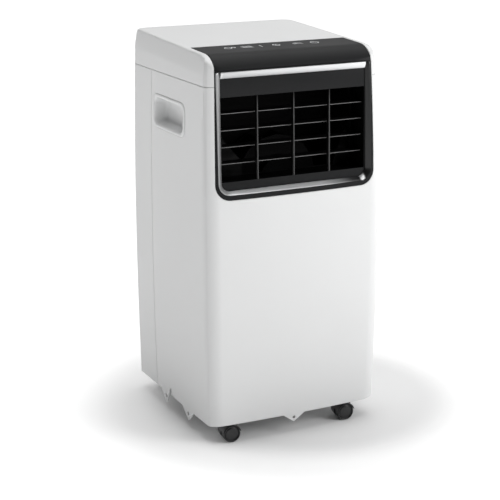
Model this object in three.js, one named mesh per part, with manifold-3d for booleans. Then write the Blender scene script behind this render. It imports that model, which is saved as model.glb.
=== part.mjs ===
// A portable air conditioner: a tall moulded cabinet on four swivel casters, with a dark
// curved control fascia, a swinging air outlet, grip recesses, and the whole cooling unit
// inside. Millimetres, +Z up. The front faces -Y, and the origin is under the middle.
import * as THREE from 'three';
import { mergeVertices } from 'three/addons/utils/BufferGeometryUtils.js';
import Module from 'manifold-3d';

const wasm = await Module();
wasm.setup();

// ---- Driving dimensions -------------------------------------------------------------
const WIDTH = 345;
const DEPTH = 355;
const HEIGHT = 703;
const GAP = 0.3;                 // clearance between pieces that touch
const WALL = 2.6;                // cabinet wall

const HALF = WIDTH / 2;
const FRONT = -DEPTH / 2;
const REAR = DEPTH / 2;
const BACK = 172;                // flat back panel; the hose collar stands out to REAR
const FLOOR = 36;                // lower edge of the cabinet above the ground
const SPLIT_Y = 71.5;            // seam between front and rear shells
const SEAM_Z = 640;              // seam under the top cover
const FIRM = { r: 7, turn: (50 * Math.PI) / 180 };   // the front corners' firm edge on each flank
const SOFT_R = 36;               // the softer turn from that edge on to the front
const REAR_R = 25;
const BARREL_Z = 340;            // height of the widest section
const BARREL = 5e-5;             // curvature of the flanks from top to bottom
const LEAN_Z = 250;              // height of the foremost section
const LEAN = 8.3e-5;             // curvature of the front from top to bottom
const BOW = 6;                   // how far the front is bowed from corner to middle

const TOP_SLOPE = 0.0427;        // fall of the lid towards the front
const LEVEL_Y = 150;             // where the lid reaches its full height
const FALL = { r: 45, y: -119.5, z: 646.4 };   // waterfall from the lid to the front
const EDGE_R = 3;                // the lid's long edges
const REAR_EDGE_R = 5;
const DRAFT = { drop: 32, lean: 4.4 };         // how the lid's flanks curve in at the top

const FASCIA = { half: 156.5, rearY: -60, low: 446, seam: 666, radius: 28 };
const TRIM = { half: 150.5, low: 454.7, high: 664.2, side: 9.5, below: 5.6, above: 11.4 };
const OPENING = { half: 140.5, low: 475.5, high: 620.5 };
const PLATE = { y: -159.5, lean: 0.03, thick: 2.4 };   // outlet plate, y at OPENING.low
const DUCT = { wall: 2.4, back: -105, margin: 3 };

const BLADES = 4;
const ROW = (OPENING.high - OPENING.low) / (BLADES + 1);
const BLADE = { half: 139.9, chord: 26, thick: 2, pivotY: -134, pin: 2, crank: 17, linkX: 133 };
const RIB = { pitch: 70.25, half: 1.4, front: 0.4, depth: 3.4 };

const GRIP = { y: -5.5, z: 570, length: 141, height: 61, radius: 17 };
const POCKET = { length: 121, height: 47, radius: 12, depth: 23, wall: 2.2 };
const CASTER = { x: 117, frontY: -151, rearY: 132, trail: 7, yaw: 84, top: 33.6, crownR: 9, stemR: 4.8 };
const TWIN_WHEEL = { r: 16, inner: 2.2, outer: 17, hubR: 12, dish: 1.5, axleR: 2.2, hood: 18 };
const INTAKE = { half: 124, low: 404, high: 622 };
const LOWER_INTAKE = { half: 124, low: 68, high: 190 };
const COLLAR = { z: 276, bore: 64, outer: 67.5 };
const DRAINS = [{ x: -112, z: 376 }, { x: 60, z: 50 }];
const DRAIN_BORE = 8;
const CORD_INLET = { x: 128, z: 50, r: 9 };
const SCREWS = [{ x: -150, z: 606 }, { x: 150, z: 606 }, { x: -150, z: 214 }, { x: 150, z: 214 }];

// Strap lugs: where the tip is along the edge, the lug's reach either side of it and below.
const LUG = { tipZ: 15.5, tipR: 3.5, holeR: 4, holeZ: 28 };
const SIDE_LUGS = [{ tip: 30, behind: 24, ahead: 12 }, { tip: -70, behind: 26, ahead: 22 }];
const FRONT_LUG = { tip: -4, behind: 21, ahead: 21, tipZ: 21 };
const EDGE_NOTCH = { y: 6, half: 11, high: 49 };

const DECK_Z = 352;
const COMPRESSOR = { x: 70, y: -62, r: 54, low: 66, high: 268, footRing: 64 };
const ACCUMULATOR = { x: 146, y: -100, r: 20, low: 110, high: 244 };
const UPPER_FAN = { x: 0, z: 458, r: 78, low: -92, high: -32 };
const LOWER_FAN = { x: -18, z: 158, r: 72, low: 38, high: 96 };

// ---- Materials ----------------------------------------------------------------------
const finish = (color, roughness, metalness = 0) => () => (
  new THREE.MeshStandardMaterial({ color, roughness, metalness })
);
const white = finish(0xeceded, 0.45);
const graphite = finish(0x3a3b3d, 0.35);
const silver = finish(0xc9cbce, 0.18, 1);
const black = finish(0x161718, 0.55);
const paleGrey = finish(0xd2d4d6, 0.5);
const natural = finish(0xb9b9b2, 0.6);
const aluminium = finish(0xb7bcc0, 0.4, 1);
const steel = finish(0x9a9da1, 0.35, 1);
const enamel = finish(0x17181a, 0.4, 0.3);
const copper = finish(0xb87342, 0.3, 1);
const rubber = finish(0x202122, 0.85);
const circuit = finish(0x1f5a3a, 0.5);
const netting = finish(0x4a4d50, 0.8);

// ---- Geometry helpers ---------------------------------------------------------------
function solid(geometry) {
  geometry.deleteAttribute('normal');
  geometry.deleteAttribute('uv');
  const merged = mergeVertices(geometry, 1e-4);
  return new wasm.Manifold(new wasm.Mesh({
    numProp: 3,
    vertProperties: new Float32Array(merged.attributes.position.array),
    triVerts: new Uint32Array(merged.index.array),
  }));
}

const join = (first, ...rest) => rest.reduce((sum, piece) => sum.add(piece), first);
const cut = (first, ...rest) => rest.reduce((body, piece) => body.subtract(piece), first);

function box(x0, x1, y0, y1, z0, z1) {
  const geometry = new THREE.BoxGeometry(x1 - x0, y1 - y0, z1 - z0);
  return solid(geometry.translate((x0 + x1) / 2, (y0 + y1) / 2, (z0 + z1) / 2));
}

const LENGTHWAYS = new THREE.Vector3(0, 1, 0);

// A straight round bar from one point to another.
function bar(from, to, radius, segments = 16) {
  const start = new THREE.Vector3(...from);
  const end = new THREE.Vector3(...to);
  const way = end.clone().sub(start);
  const geometry = new THREE.CylinderGeometry(radius, radius, way.length(), segments);
  const turn = new THREE.Quaternion().setFromUnitVectors(LENGTHWAYS, way.clone().normalize());
  geometry.applyQuaternion(turn);
  const middle = start.addScaledVector(way, 0.5);
  return solid(geometry.translate(middle.x, middle.y, middle.z));
}

// Extrudes an outline along the named axis. The outline's plane is (y, z) for x,
// (x, z) for y and (x, y) for z.
function prism(shape, axis, from, to, options = {}) {
  const depth = to - from;
  const geometry = new THREE.ExtrudeGeometry(shape, {
    depth, bevelEnabled: false, curveSegments: 4, ...options,
  });
  if (axis === 'x') return geometry.translate(0, 0, from).rotateZ(Math.PI / 2).rotateY(Math.PI / 2);
  if (axis === 'y') return geometry.translate(0, 0, -to).rotateX(Math.PI / 2);
  return geometry.translate(0, 0, from);
}

const extrude = (...args) => solid(prism(...args));

function warp(geometry, move) {
  const { position } = geometry.attributes;
  const point = new THREE.Vector3();
  for (let i = 0; i < position.count; i += 1) {
    move(point.fromBufferAttribute(position, i));
    position.setXYZ(i, point.x, point.y, point.z);
  }
  return geometry;
}

// A closed profile of (radius, height) points turned about Y, wound so its faces point out.
function revolve(profile, segments) {
  const points = profile.map(([radius, height]) => new THREE.Vector2(radius, height));
  if (THREE.ShapeUtils.area(points) < 0) points.reverse();
  return new THREE.LatheGeometry(points, segments);
}

// Turned about an axis parallel to Y through (x, 0, z).
function turned(profile, x, z, segments = 24) {
  return solid(revolve(profile, segments).translate(x, 0, z));
}

// Turned about a vertical axis through (x, y).
function spun(profile, x, y, segments = 24) {
  return solid(revolve(profile, segments).rotateX(Math.PI / 2).translate(x, y, 0));
}

function tube(points, radius, steps, sides = 8) {
  const path = new THREE.CatmullRomCurve3(points.map((point) => new THREE.Vector3(...point)));
  const section = new THREE.Shape().absarc(0, 0, radius, 0, Math.PI * 2);
  return solid(new THREE.ExtrudeGeometry(section, {
    extrudePath: path, steps, curveSegments: sides / 2, bevelEnabled: false,
  }));
}

const polygon = (points) => new THREE.Shape(points.map(([u, v]) => new THREE.Vector2(u, v)));

function disc(x, z, radius) {
  return new THREE.Shape().absarc(x, z, radius, 0, Math.PI * 2);
}

function rounded(left, right, low, high, radius, topRadius = radius) {
  const shape = new THREE.Shape();
  shape.moveTo(left + radius, low);
  shape.lineTo(right - radius, low);
  shape.absarc(right - radius, low + radius, radius, -Math.PI / 2, 0);
  shape.lineTo(right, high - topRadius);
  shape.absarc(right - topRadius, high - topRadius, topRadius, 0, Math.PI / 2);
  shape.lineTo(left + topRadius, high);
  shape.absarc(left + topRadius, high - topRadius, topRadius, Math.PI / 2, Math.PI);
  shape.lineTo(left, low + radius);
  shape.absarc(left + radius, low + radius, radius, Math.PI, Math.PI * 1.5);
  return shape;
}

// ---- The assembly -------------------------------------------------------------------
const unit = new THREE.Group();

function place(name, body, material) {
  const { vertProperties, triVerts } = body.getMesh();
  const geometry = new THREE.BufferGeometry();
  geometry.setAttribute('position', new THREE.Float32BufferAttribute(vertProperties, 3));
  geometry.setIndex(new THREE.Uint32BufferAttribute(triVerts, 1));
  geometry.computeVertexNormals();
  const mesh = new THREE.Mesh(geometry, material());
  mesh.name = name;
  unit.add(mesh);
}

// ---- The cabinet's skin -------------------------------------------------------------
const barrelAt = (z) => 1 - (BARREL * (z - BARREL_Z) ** 2) / HALF;

// The flanks are slightly barrelled, and the front is bowed both ways.
function swell(point) {
  const reach = Math.max(0, (SPLIT_Y - point.y) / (SPLIT_Y - FRONT));
  point.y += reach ** 2 * (BOW * (point.x / HALF) ** 2 + LEAN * (point.z - LEAN_Z) ** 2);
  point.x *= barrelAt(point.z);
}

// The middle of the soft turn at each front corner.
const SOFT = { reach: SOFT_R - FIRM.r, y: FRONT + SOFT_R };
SOFT.x = HALF - FIRM.r - SOFT.reach * Math.cos(FIRM.turn);

function planShape(inset) {
  const x = HALF - inset;
  const front = FRONT + inset;
  const back = BACK - inset;
  const soft = [SOFT.x, SOFT.y, SOFT_R - inset];
  const firm = [HALF - FIRM.r, SOFT.y - SOFT.reach * Math.sin(FIRM.turn), FIRM.r - inset];
  const rearR = REAR_R - inset;
  const spans = 6;
  const shape = new THREE.Shape();
  shape.moveTo(-SOFT.x, front);
  for (let i = 1; i <= spans; i += 1) {
    shape.lineTo(SOFT.x * ((2 * i) / spans - 1), front);
  }
  shape.absarc(...soft, -Math.PI / 2, -FIRM.turn);
  shape.absarc(...firm, -FIRM.turn, 0);
  shape.lineTo(x, SPLIT_Y);
  shape.absarc(x - rearR, back - rearR, rearR, 0, Math.PI / 2);
  shape.absarc(rearR - x, back - rearR, rearR, Math.PI / 2, Math.PI);
  shape.lineTo(-x, SPLIT_Y);
  shape.absarc(-firm[0], firm[1], firm[2], Math.PI, Math.PI + FIRM.turn);
  shape.absarc(-soft[0], soft[1], soft[2], Math.PI + FIRM.turn, Math.PI * 1.5);
  return shape;
}

// The lid slopes gently to the front and falls into it round a large radius.
function sideShape(inset) {
  const back = BACK - inset;
  const top = HEIGHT - inset;
  const overhang = 30;
  const shape = new THREE.Shape();
  shape.moveTo(back, 0);
  shape.lineTo(back, top - REAR_EDGE_R);
  shape.absarc(back - REAR_EDGE_R, top - REAR_EDGE_R, REAR_EDGE_R, 0, Math.PI / 2);
  shape.lineTo(LEVEL_Y, top);
  shape.absarc(FALL.y, FALL.z, FALL.r - inset, Math.PI / 2 + Math.atan(TOP_SLOPE), Math.PI);
  shape.lineTo(FALL.y - FALL.r - overhang, FALL.z - 2 * overhang);
  shape.lineTo(FALL.y - FALL.r - overhang, 0);
  return shape;
}

// The lid's flanks curve in towards a crisp edge, and the outline is sheared to its slope.
function crownShape(inset) {
  const half = HALF * barrelAt(HEIGHT) - DRAFT.lean - inset;
  const top = HEIGHT - inset;
  const wide = HALF + 20;
  const base = top - 2 * DRAFT.drop;
  const edge = half - EDGE_R;
  const shape = new THREE.Shape();
  shape.moveTo(-wide, 0);
  shape.lineTo(wide, 0);
  shape.lineTo(wide, base);
  shape.lineTo(half + 2 * DRAFT.lean, top - 1.4 * DRAFT.drop);
  shape.quadraticCurveTo(half + DRAFT.lean * 0.7, top - DRAFT.drop * 0.6, half, top - EDGE_R);
  shape.absarc(edge, top - EDGE_R, EDGE_R, 0, Math.PI / 2);
  shape.lineTo(-edge, top);
  shape.absarc(-edge, top - EDGE_R, EDGE_R, Math.PI / 2, Math.PI);
  shape.quadraticCurveTo(
    -half - DRAFT.lean * 0.7, top - DRAFT.drop * 0.6, -half - 2 * DRAFT.lean, top - 1.4 * DRAFT.drop,
  );
  shape.lineTo(-wide, base);
  return shape;
}

function cabinet(inset, low = FLOOR) {
  const plan = prism(planShape(inset), 'z', low, HEIGHT + 10, { steps: 7 });
  const side = prism(sideShape(inset), 'x', -HALF - 20, HALF + 20, { curveSegments: 5 });
  const crown = prism(crownShape(inset), 'y', -DEPTH, DEPTH, { curveSegments: 3 });
  warp(plan, swell);
  warp(crown, (point) => { point.z += TOP_SLOPE * (point.y - LEVEL_Y); });
  return solid(plan).intersect(solid(side)).intersect(solid(crown));
}

// Where the front surface lies at a given width and height.
function surfaceY(x, z) {
  const across = Math.abs(x) / barrelAt(z);
  const past = Math.max(0, across - SOFT.x);
  const corner = SOFT_R - Math.sqrt(SOFT_R ** 2 - past ** 2);
  const point = new THREE.Vector3(across, FRONT + corner, z);
  swell(point);
  const above = Math.max(0, z - FALL.z);
  return Math.max(point.y, FALL.y - Math.sqrt(FALL.r ** 2 - above ** 2));
}

const plateY = (z) => PLATE.y + PLATE.lean * (z - OPENING.low);

// The opening in the shells that the dark fascia and outlet frame fill.
function fasciaWindow(gap) {
  const half = FASCIA.half - gap;
  const rearY = FASCIA.rearY - gap;
  const footprint = polygon([[-half, -DEPTH], [half, -DEPTH], [half, rearY], [-half, rearY]]);
  const column = prism(footprint, 'z', FASCIA.low - 10, HEIGHT + 10, { steps: 4 });
  warp(column, (point) => { point.x *= barrelAt(point.z); });
  const foot = half * barrelAt(FASCIA.low + FASCIA.radius);
  const outline = rounded(-foot, foot, FASCIA.low + gap, HEIGHT + 20, FASCIA.radius - gap, 1);
  return solid(column).intersect(extrude(outline, 'y', -DEPTH, 0));
}

const outer = cabinet(0);
const inner = cabinet(WALL, FLOOR - 5);
const skin = cut(outer, inner);
const everywhere = [-DEPTH, DEPTH];
const region = (y0, y1, z0, z1) => box(...everywhere, y0, y1, z0, z1);

// ---- Grip recesses ------------------------------------------------------------------
function gripPrism({ length, height, radius }, grow, deep) {
  const along = length / 2 + grow;
  const up = height / 2 + grow;
  const { y, z } = GRIP;
  const outline = rounded(y - along, y + along, z - up, z + up, radius);
  return extrude(outline, 'x', HALF * barrelAt(z) - deep, HALF + 10);
}

// A pocket for the fingers, with a flange that lies on the shell.
function gripCup() {
  const proud = 1.4;
  const swollen = cabinet(-proud);
  const flange = gripPrism(GRIP, 0, 8).intersect(cut(swollen, cabinet(-GAP)));
  const cup = gripPrism(POCKET, POCKET.wall, POCKET.depth).intersect(swollen);
  return cut(join(flange, cup), gripPrism(POCKET, 0, POCKET.depth - POCKET.wall));
}

const mirrored = (body) => body.mirror([1, 0, 0]);
const gripHole = gripPrism(POCKET, POCKET.wall + GAP, 40);

// ---- Strap lugs ---------------------------------------------------------------------
// A pointed lug below the cabinet's edge, as an outline in the plane of that side.
function lugOutline({ tip, behind, ahead, tipZ = LUG.tipZ }) {
  const { tipR } = LUG;
  const turn = Math.PI * 1.2;
  const shape = new THREE.Shape();
  shape.moveTo(tip - ahead, FLOOR + 1);
  shape.lineTo(tip - ahead, FLOOR - 1);
  shape.lineTo(tip + tipR * Math.cos(turn), tipZ + tipR + tipR * Math.sin(turn));
  shape.absarc(tip, tipZ + tipR, tipR, turn, 3 * Math.PI - turn);
  shape.lineTo(tip + behind, FLOOR - 1);
  shape.lineTo(tip + behind, FLOOR + 1);
  return shape;
}

function lugPlates() {
  const low = cut(cabinet(0, LUG.tipZ - 5), cabinet(WALL, LUG.tipZ - 10));
  const plates = SIDE_LUGS.map((lug) => {
    const plate = extrude(lugOutline(lug), 'x', -DEPTH, DEPTH);
    return cut(plate, extrude(disc(lug.tip, LUG.holeZ, LUG.holeR), 'x', -DEPTH, DEPTH));
  });
  const front = cut(
    extrude(lugOutline(FRONT_LUG), 'y', -DEPTH, 0),
    extrude(disc(FRONT_LUG.tip, LUG.holeZ + 1, LUG.holeR - 1), 'y', -DEPTH, 0),
  );
  return [...plates, front].map((plate) => plate.intersect(low));
}

function edgeNotch() {
  const { y, half, high } = EDGE_NOTCH;
  return extrude(rounded(y - half, y + half, FLOOR - 10, high, 1, half - 1), 'x', -DEPTH, DEPTH);
}

// ---- Shells, lid and fascia ---------------------------------------------------------
function frontShell() {
  const wall = skin.intersect(region(-DEPTH, SPLIT_Y - GAP, 0, SEAM_Z - GAP));
  return cut(join(wall, ...lugPlates()), fasciaWindow(0), gripHole, mirrored(gripHole), edgeNotch());
}

function topCover() {
  return cut(skin.intersect(region(-DEPTH, DEPTH, SEAM_Z, HEIGHT + 10)), fasciaWindow(0));
}

function rearShell() {
  const part = skin.intersect(region(SPLIT_Y, DEPTH, 0, SEAM_Z - GAP));
  const openings = [INTAKE, LOWER_INTAKE].map(({ half, low, high }) => (
    extrude(rounded(-half, half, low, high, 8), 'y', 150, 190)
  ));
  const port = (x, z, radius, segments) => bar([x, 150, z], [x, 190, z], radius, segments);
  return cut(
    part,
    ...openings,
    port(0, COLLAR.z, COLLAR.outer + 0.9, 28),
    port(CORD_INLET.x, CORD_INLET.z, CORD_INLET.r + 0.2, 16),
    ...DRAINS.map(({ x, z }) => port(x, z, DRAIN_BORE + 0.2, 16)),
    ...SCREWS.map(({ x, z }) => port(x, z, 2.7, 8)),
  );
}

function controlFascia() {
  const panel = skin.intersect(fasciaWindow(GAP));
  return panel.intersect(region(-DEPTH, 0, FASCIA.seam, HEIGHT + 10));
}

// Everything between the front surface and the back of the leaning outlet plate.
function aheadOfPlate(offset) {
  const low = FASCIA.low - 20;
  const high = FASCIA.seam + 20;
  const outline = polygon([
    [-DEPTH, low], [plateY(low) + offset, low], [plateY(high) + offset, high], [-DEPTH, high],
  ]);
  return extrude(outline, 'x', ...everywhere);
}

const trimOutline = (grow) => rounded(
  -TRIM.half - grow, TRIM.half + grow, TRIM.low - grow, TRIM.high + grow, 22 + grow, 6 + grow,
);
const trimInner = {
  half: TRIM.half - TRIM.side, low: TRIM.low + TRIM.below, high: TRIM.high - TRIM.above,
};

function outletFrame() {
  const { half, low, high } = OPENING;
  const block = outer.intersect(fasciaWindow(GAP)).intersect(aheadOfPlate(PLATE.thick));
  const pocket = extrude(trimOutline(0), 'y', -DEPTH, 0).intersect(aheadOfPlate(0));
  const opening = extrude(rounded(-half, half, low, high, 2), 'y', -DEPTH, 0);
  return cut(block.intersect(region(-DEPTH, 0, 0, FASCIA.seam - GAP)), pocket, opening);
}

// A sloping band from the frame's margin down to the plate.
function outletTrim() {
  const ring = trimOutline(-GAP);
  const { half, low, high } = trimInner;
  ring.holes.push(rounded(-half, half, low, high, 15, 2));
  const band = prism(ring, 'y', 0, 1);
  warp(band, (point) => {
    const inside = Math.abs(point.x) < half + 0.1 && point.z > low - 0.1 && point.z < high + 0.1;
    const face = inside ? plateY(point.z) - 1.3 : surfaceY(point.x, point.z) + 0.4;
    point.y = point.y < 0.5 ? face : plateY(point.z) - GAP;
  });
  return solid(band);
}

// ---- Air outlet ---------------------------------------------------------------------
const ductHalf = OPENING.half + 1;
const ductLow = OPENING.low - DUCT.margin;
const ductHigh = OPENING.high + DUCT.margin;
const ductFront = plateY(OPENING.high) + PLATE.thick + GAP;
const bladeZ = (row) => OPENING.low + ROW * (row + 1);

function outletGrid() {
  const { wall, back } = DUCT;
  const rim = polygon([
    [-ductHalf - wall, ductLow - wall], [ductHalf + wall, ductLow - wall],
    [ductHalf + wall, ductHigh + wall], [-ductHalf - wall, ductHigh + wall],
  ]);
  rim.holes.push(polygon([
    [-ductHalf, ductLow], [ductHalf, ductLow], [ductHalf, ductHigh], [-ductHalf, ductHigh],
  ]));
  const duct = extrude(rim, 'y', ductFront, back);
  const ribs = [-1, 0, 1].map((side) => {
    const x = side * RIB.pitch;
    const rib = (front, low, high) => (
      box(x - RIB.half, x + RIB.half, front, ductFront + RIB.depth, low, high)
    );
    const nose = rib(ductFront - 6, OPENING.low + GAP, OPENING.high - GAP);
    const root = rib(ductFront, ductLow - 1, ductHigh + 1);
    return join(cut(nose, aheadOfPlate(RIB.front)), root);
  });
  const bores = Array.from({ length: BLADES }, (_, row) => (
    bar([-160, BLADE.pivotY, bladeZ(row)], [160, BLADE.pivotY, bladeZ(row)], BLADE.pin + 0.5, 8)
  ));
  return cut(join(duct, ...ribs), ...bores);
}

function louvreBlade(row) {
  const z = bladeZ(row);
  const { half, chord, thick, pivotY, pin, crank, linkX } = BLADE;
  const section = new THREE.Shape();
  section.moveTo(pivotY - chord / 2, z - 0.6);
  section.quadraticCurveTo(pivotY, z - thick * 0.9, pivotY + chord / 2, z - 0.5);
  section.lineTo(pivotY + chord / 2, z + 0.5);
  section.quadraticCurveTo(pivotY, z + thick * 0.9, pivotY - chord / 2, z + 0.6);
  const blade = extrude(section, 'x', -half, half, { curveSegments: 3 });
  const reach = ductHalf + DUCT.wall - 0.4;
  const journal = bar([-reach, pivotY, z], [reach, pivotY, z], pin, 8);
  const ear = box(linkX - 4.5, linkX - 2.5, pivotY + 8, pivotY + crank + 2.4, z - 2.2, z + 2.2);
  const crankPin = bar([linkX - 3.5, pivotY + crank, z], [linkX + 2.4, pivotY + crank, z], 1.3, 8);
  const linkSlot = box(linkX - 2.2, linkX + 3.2, pivotY + 5, pivotY + chord, z - 4, z + 4);
  return join(cut(blade, linkSlot), journal, ear, crankPin);
}

function louvreLink() {
  const y = BLADE.pivotY + BLADE.crank;
  const low = bladeZ(0) - 4;
  const high = bladeZ(BLADES - 1) + 4;
  const strip = box(BLADE.linkX - 1.4, BLADE.linkX + 1.2, y - 3.6, y + 3.6, low, high);
  const holes = Array.from({ length: BLADES }, (_, row) => (
    bar([BLADE.linkX - 5, y, bladeZ(row)], [BLADE.linkX + 5, y, bladeZ(row)], 1.9, 8)
  ));
  return cut(strip, ...holes);
}

function louvreMotor() {
  const face = ductHalf + DUCT.wall + GAP;
  const z = bladeZ(0);
  const can = bar([face, BLADE.pivotY, z], [face + 17, BLADE.pivotY, z], 12, 20);
  return join(can, box(face, face + 2, BLADE.pivotY - 4, BLADE.pivotY + 4, z - 18, z + 18));
}

// ---- Rear grilles, collar and ports -------------------------------------------------
function grille({ half, low, high }, slotPitch, columns) {
  const rim = rounded(-half - 5, half + 5, low - 5, high + 5, 10);
  const flange = extrude(rim, 'y', BACK + GAP, BACK + 2.4);
  const fit = rounded(-half + GAP, half - GAP, low + GAP, high - GAP, 8);
  const plug = extrude(fit, 'y', BACK - 7, BACK + 1);
  const well = box(-half + 5, half - 5, BACK - 8, BACK - 1.4, low + 5, high - 5);
  const slots = [];
  const columnWidth = (2 * half - 12) / columns;
  for (let z = low + 9; z < high - 9; z += slotPitch) {
    for (let i = 0; i < columns; i += 1) {
      const left = -half + 8 + i * columnWidth;
      slots.push(box(left, left + columnWidth - 4, BACK - 9, BACK + 9, z, z + slotPitch * 0.55));
    }
  }
  return cut(join(flange, plug), well, ...slots);
}

function filter({ half, low, high }, bars) {
  const left = -half + 6;
  const frame = box(left, -left, BACK - 6.4, BACK - 2, low + 6, high - 6);
  const openings = [];
  const width = (-2 * left - 4) / bars;
  const height = (high - low - 16) / bars;
  for (let i = 0; i < bars; i += 1) {
    for (let k = 0; k < bars; k += 1) {
      const x = left + 4 + i * width;
      const z = low + 10 + k * height;
      openings.push(box(x, x + width - 4, BACK - 7, BACK - 3, z, z + height - 4));
    }
  }
  return cut(frame, ...openings);
}

function exhaustCollar() {
  const { z, bore, outer: wall } = COLLAR;
  const ring = turned([
    [bore, 120], [wall, 120], [wall, BACK + GAP], [wall + 7, BACK + GAP], [wall + 7, BACK + 2.2],
    [wall, BACK + 2.2], [wall, REAR], [bore, REAR], [bore, 120],
  ], 0, z, 28);
  const lugs = [0, 120, 240].map((degrees) => {
    const angle = THREE.MathUtils.degToRad(degrees + 30);
    const x = Math.cos(angle) * (bore - 1.5);
    const up = z + Math.sin(angle) * (bore - 1.5);
    return box(x - 3.5, x + 3.5, BACK + 1, REAR - 0.5, up - 3.5, up + 3.5);
  });
  return join(ring, ...lugs);
}

function drainSpout({ x, z }) {
  return turned([
    [6, 140], [DRAIN_BORE - 0.4, 140], [DRAIN_BORE - 0.4, BACK - 0.5], [6, BACK - 0.5], [6, 140],
  ], x, z, 16);
}

function drainPlug({ x, z }) {
  const cap = turned([
    [0, BACK + GAP], [9.5, BACK + GAP], [10.5, BACK + 3.5], [0, BACK + 3.5], [0, BACK + GAP],
  ], x, z, 12);
  const stem = bar([x, BACK - 12, z], [x, BACK + 1, z], 5.6, 10);
  const tab = box(x - 4, x + 4, BACK + 1, BACK + 3.5, z - 14, z - 9);
  return join(cap, stem, tab);
}

function cordGland() {
  const { x, z, r } = CORD_INLET;
  return turned([
    [3.6, BACK - 8], [r - 0.4, BACK - 8], [r - 0.4, BACK + GAP], [r + 2.5, BACK + GAP],
    [r + 1.5, BACK + 4], [5, BACK + 5], [3.6, BACK + 5], [3.6, BACK - 8],
  ], x, z, 20);
}

const screw = ({ x, z }) => turned([
  [0, BACK - 12], [2.2, BACK - 12], [2.2, BACK + GAP], [4.5, BACK + GAP], [4.2, BACK + 1.8],
  [2.4, BACK + 2.6], [0, BACK + 2.6], [0, BACK - 12],
], x, z, 8);

// ---- Base pan and casters -----------------------------------------------------------
function basePan() {
  const outline = planShape(WALL + 0.8);
  const hollow = planShape(WALL + 3.4);
  const pan = cut(
    solid(warp(prism(outline, 'z', FLOOR - 2, FLOOR + 22), swell)),
    solid(warp(prism(hollow, 'z', FLOOR + 1, FLOOR + 30), swell)),
  );
  const sockets = casterSpots.map(({ x, y }) => spun([
    [0, FLOOR - 1], [10, FLOOR - 1], [10, FLOOR + 18], [0, FLOOR + 18], [0, FLOOR - 1],
  ], x, y, 10));
  const bores = casterSpots.map(({ x, y }) => bar([x, y, FLOOR - 10], [x, y, FLOOR + 15], 5.4, 10));
  const throughBack = ({ x, z }, radius) => bar([x, 120, z], [x, 190, z], radius, 16);
  const drain = throughBack(DRAINS[1], DRAIN_BORE);
  const inlet = throughBack(CORD_INLET, CORD_INLET.r);
  return cut(join(pan, ...sockets), ...bores, drain, inlet);
}

const casterSpots = [
  { name: 'front_left', x: -CASTER.x, y: CASTER.frontY },
  { name: 'front_right', x: CASTER.x, y: CASTER.frontY },
  { name: 'rear_left', x: -CASTER.x, y: CASTER.rearY },
  { name: 'rear_right', x: CASTER.x, y: CASTER.rearY },
];

// The axle lies along local X, and the fork trails behind the stem in local Y.
function onAxle(x0, x1, radius, segments) {
  const { trail } = CASTER;
  return bar([x0, trail, TWIN_WHEEL.r], [x1, trail, TWIN_WHEEL.r], radius, segments);
}

// A thin hood over both wheels, the web between them, and the crown with its stem.
function forkShape() {
  const { trail, top, crownR, stemR } = CASTER;
  const { r, hood, axleR } = TWIN_WHEEL;
  const web = 1.6;
  const lower = box(-hood - 5, hood + 5, -30, 50, -10, r + 4);
  const arch = (x0, x1) => onAxle(x0, x1, r + 0.8, 16);
  const shell = cut(onAxle(-hood, hood, r + 1.6, 16), lower, arch(-hood - 5, -web), arch(web, hood + 5));
  const crown = spun([[0, top - 8], [crownR, top - 8], [crownR, top], [0, top], [0, top - 8]], 0, 0, 12);
  const plate = box(-web, web, trail - 5, trail + 5, r - 5, r + 12);
  const stem = bar([0, 0, top - 1], [0, 0, FLOOR + 14], stemR, 10);
  const body = join(shell, cut(crown, arch(-hood - 5, hood + 5)), plate, stem);
  return cut(body, onAxle(-5, 5, axleR + 0.5, 8));
}

function wheelPair() {
  const { r, inner: inside, outer: outside, hubR, dish, axleR } = TWIN_WHEEL;
  const wheels = [-1, 1].map((side) => cut(
    onAxle(side * inside, side * outside, r, 16),
    onAxle(side * (outside - dish), side * (outside + 5), hubR, 10),
  ));
  return join(...wheels, onAxle(-5, 5, axleR, 8));
}

const onCaster = (body, { x, y }) => body.rotate([0, 0, CASTER.yaw]).translate([x, y, 0]);

// ---- Cooling unit -------------------------------------------------------------------
// A finned block with return bends along one end.
function coil(x0, x1, z0, z1) {
  const block = box(x0, x1, 122, 160, z0, z1);
  const plates = [x0 - 1.5, x1].map((x) => box(x, x + 1.5, 120, 161, z0 - 2, z1 + 2));
  const grooves = [];
  for (let x = x0 + 12; x < x1 - 6; x += 24) grooves.push(box(x, x + 9, 158.5, 170, z0 + 3, z1 - 3));
  const bends = [];
  for (let z = z0 + 16; z < z1 - 24; z += 56) {
    bends.push(box(x1 + 1, x1 + 9, 138, 144, z, z + 6));
    bends.push(box(x1 + 1, x1 + 9, 138, 144, z + 18, z + 24));
    bends.push(box(x1 + 5, x1 + 9, 138, 144, z, z + 24));
  }
  return cut(join(block, ...plates, ...bends), ...grooves);
}

// The outline of a fan casing: a spiral round the wheel that opens into a straight throat.
function scrollShape(fan, shrink, throatLeft, throatRight, top) {
  const shape = new THREE.Shape();
  const turns = 12;
  const start = fan.r + 8 - shrink;
  const growth = 22;
  shape.moveTo(throatLeft + shrink, top);
  shape.lineTo(throatLeft + shrink, top - 60);
  for (let i = 0; i <= turns; i += 1) {
    const angle = Math.PI * (0.85 + (1.15 * i) / turns);
    const radius = start + (growth * i) / turns;
    shape.lineTo(fan.x + radius * Math.cos(angle), fan.z + radius * Math.sin(angle));
  }
  shape.lineTo(throatRight - shrink, top - 60);
  shape.lineTo(throatRight - shrink, top);
  return shape;
}

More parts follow.
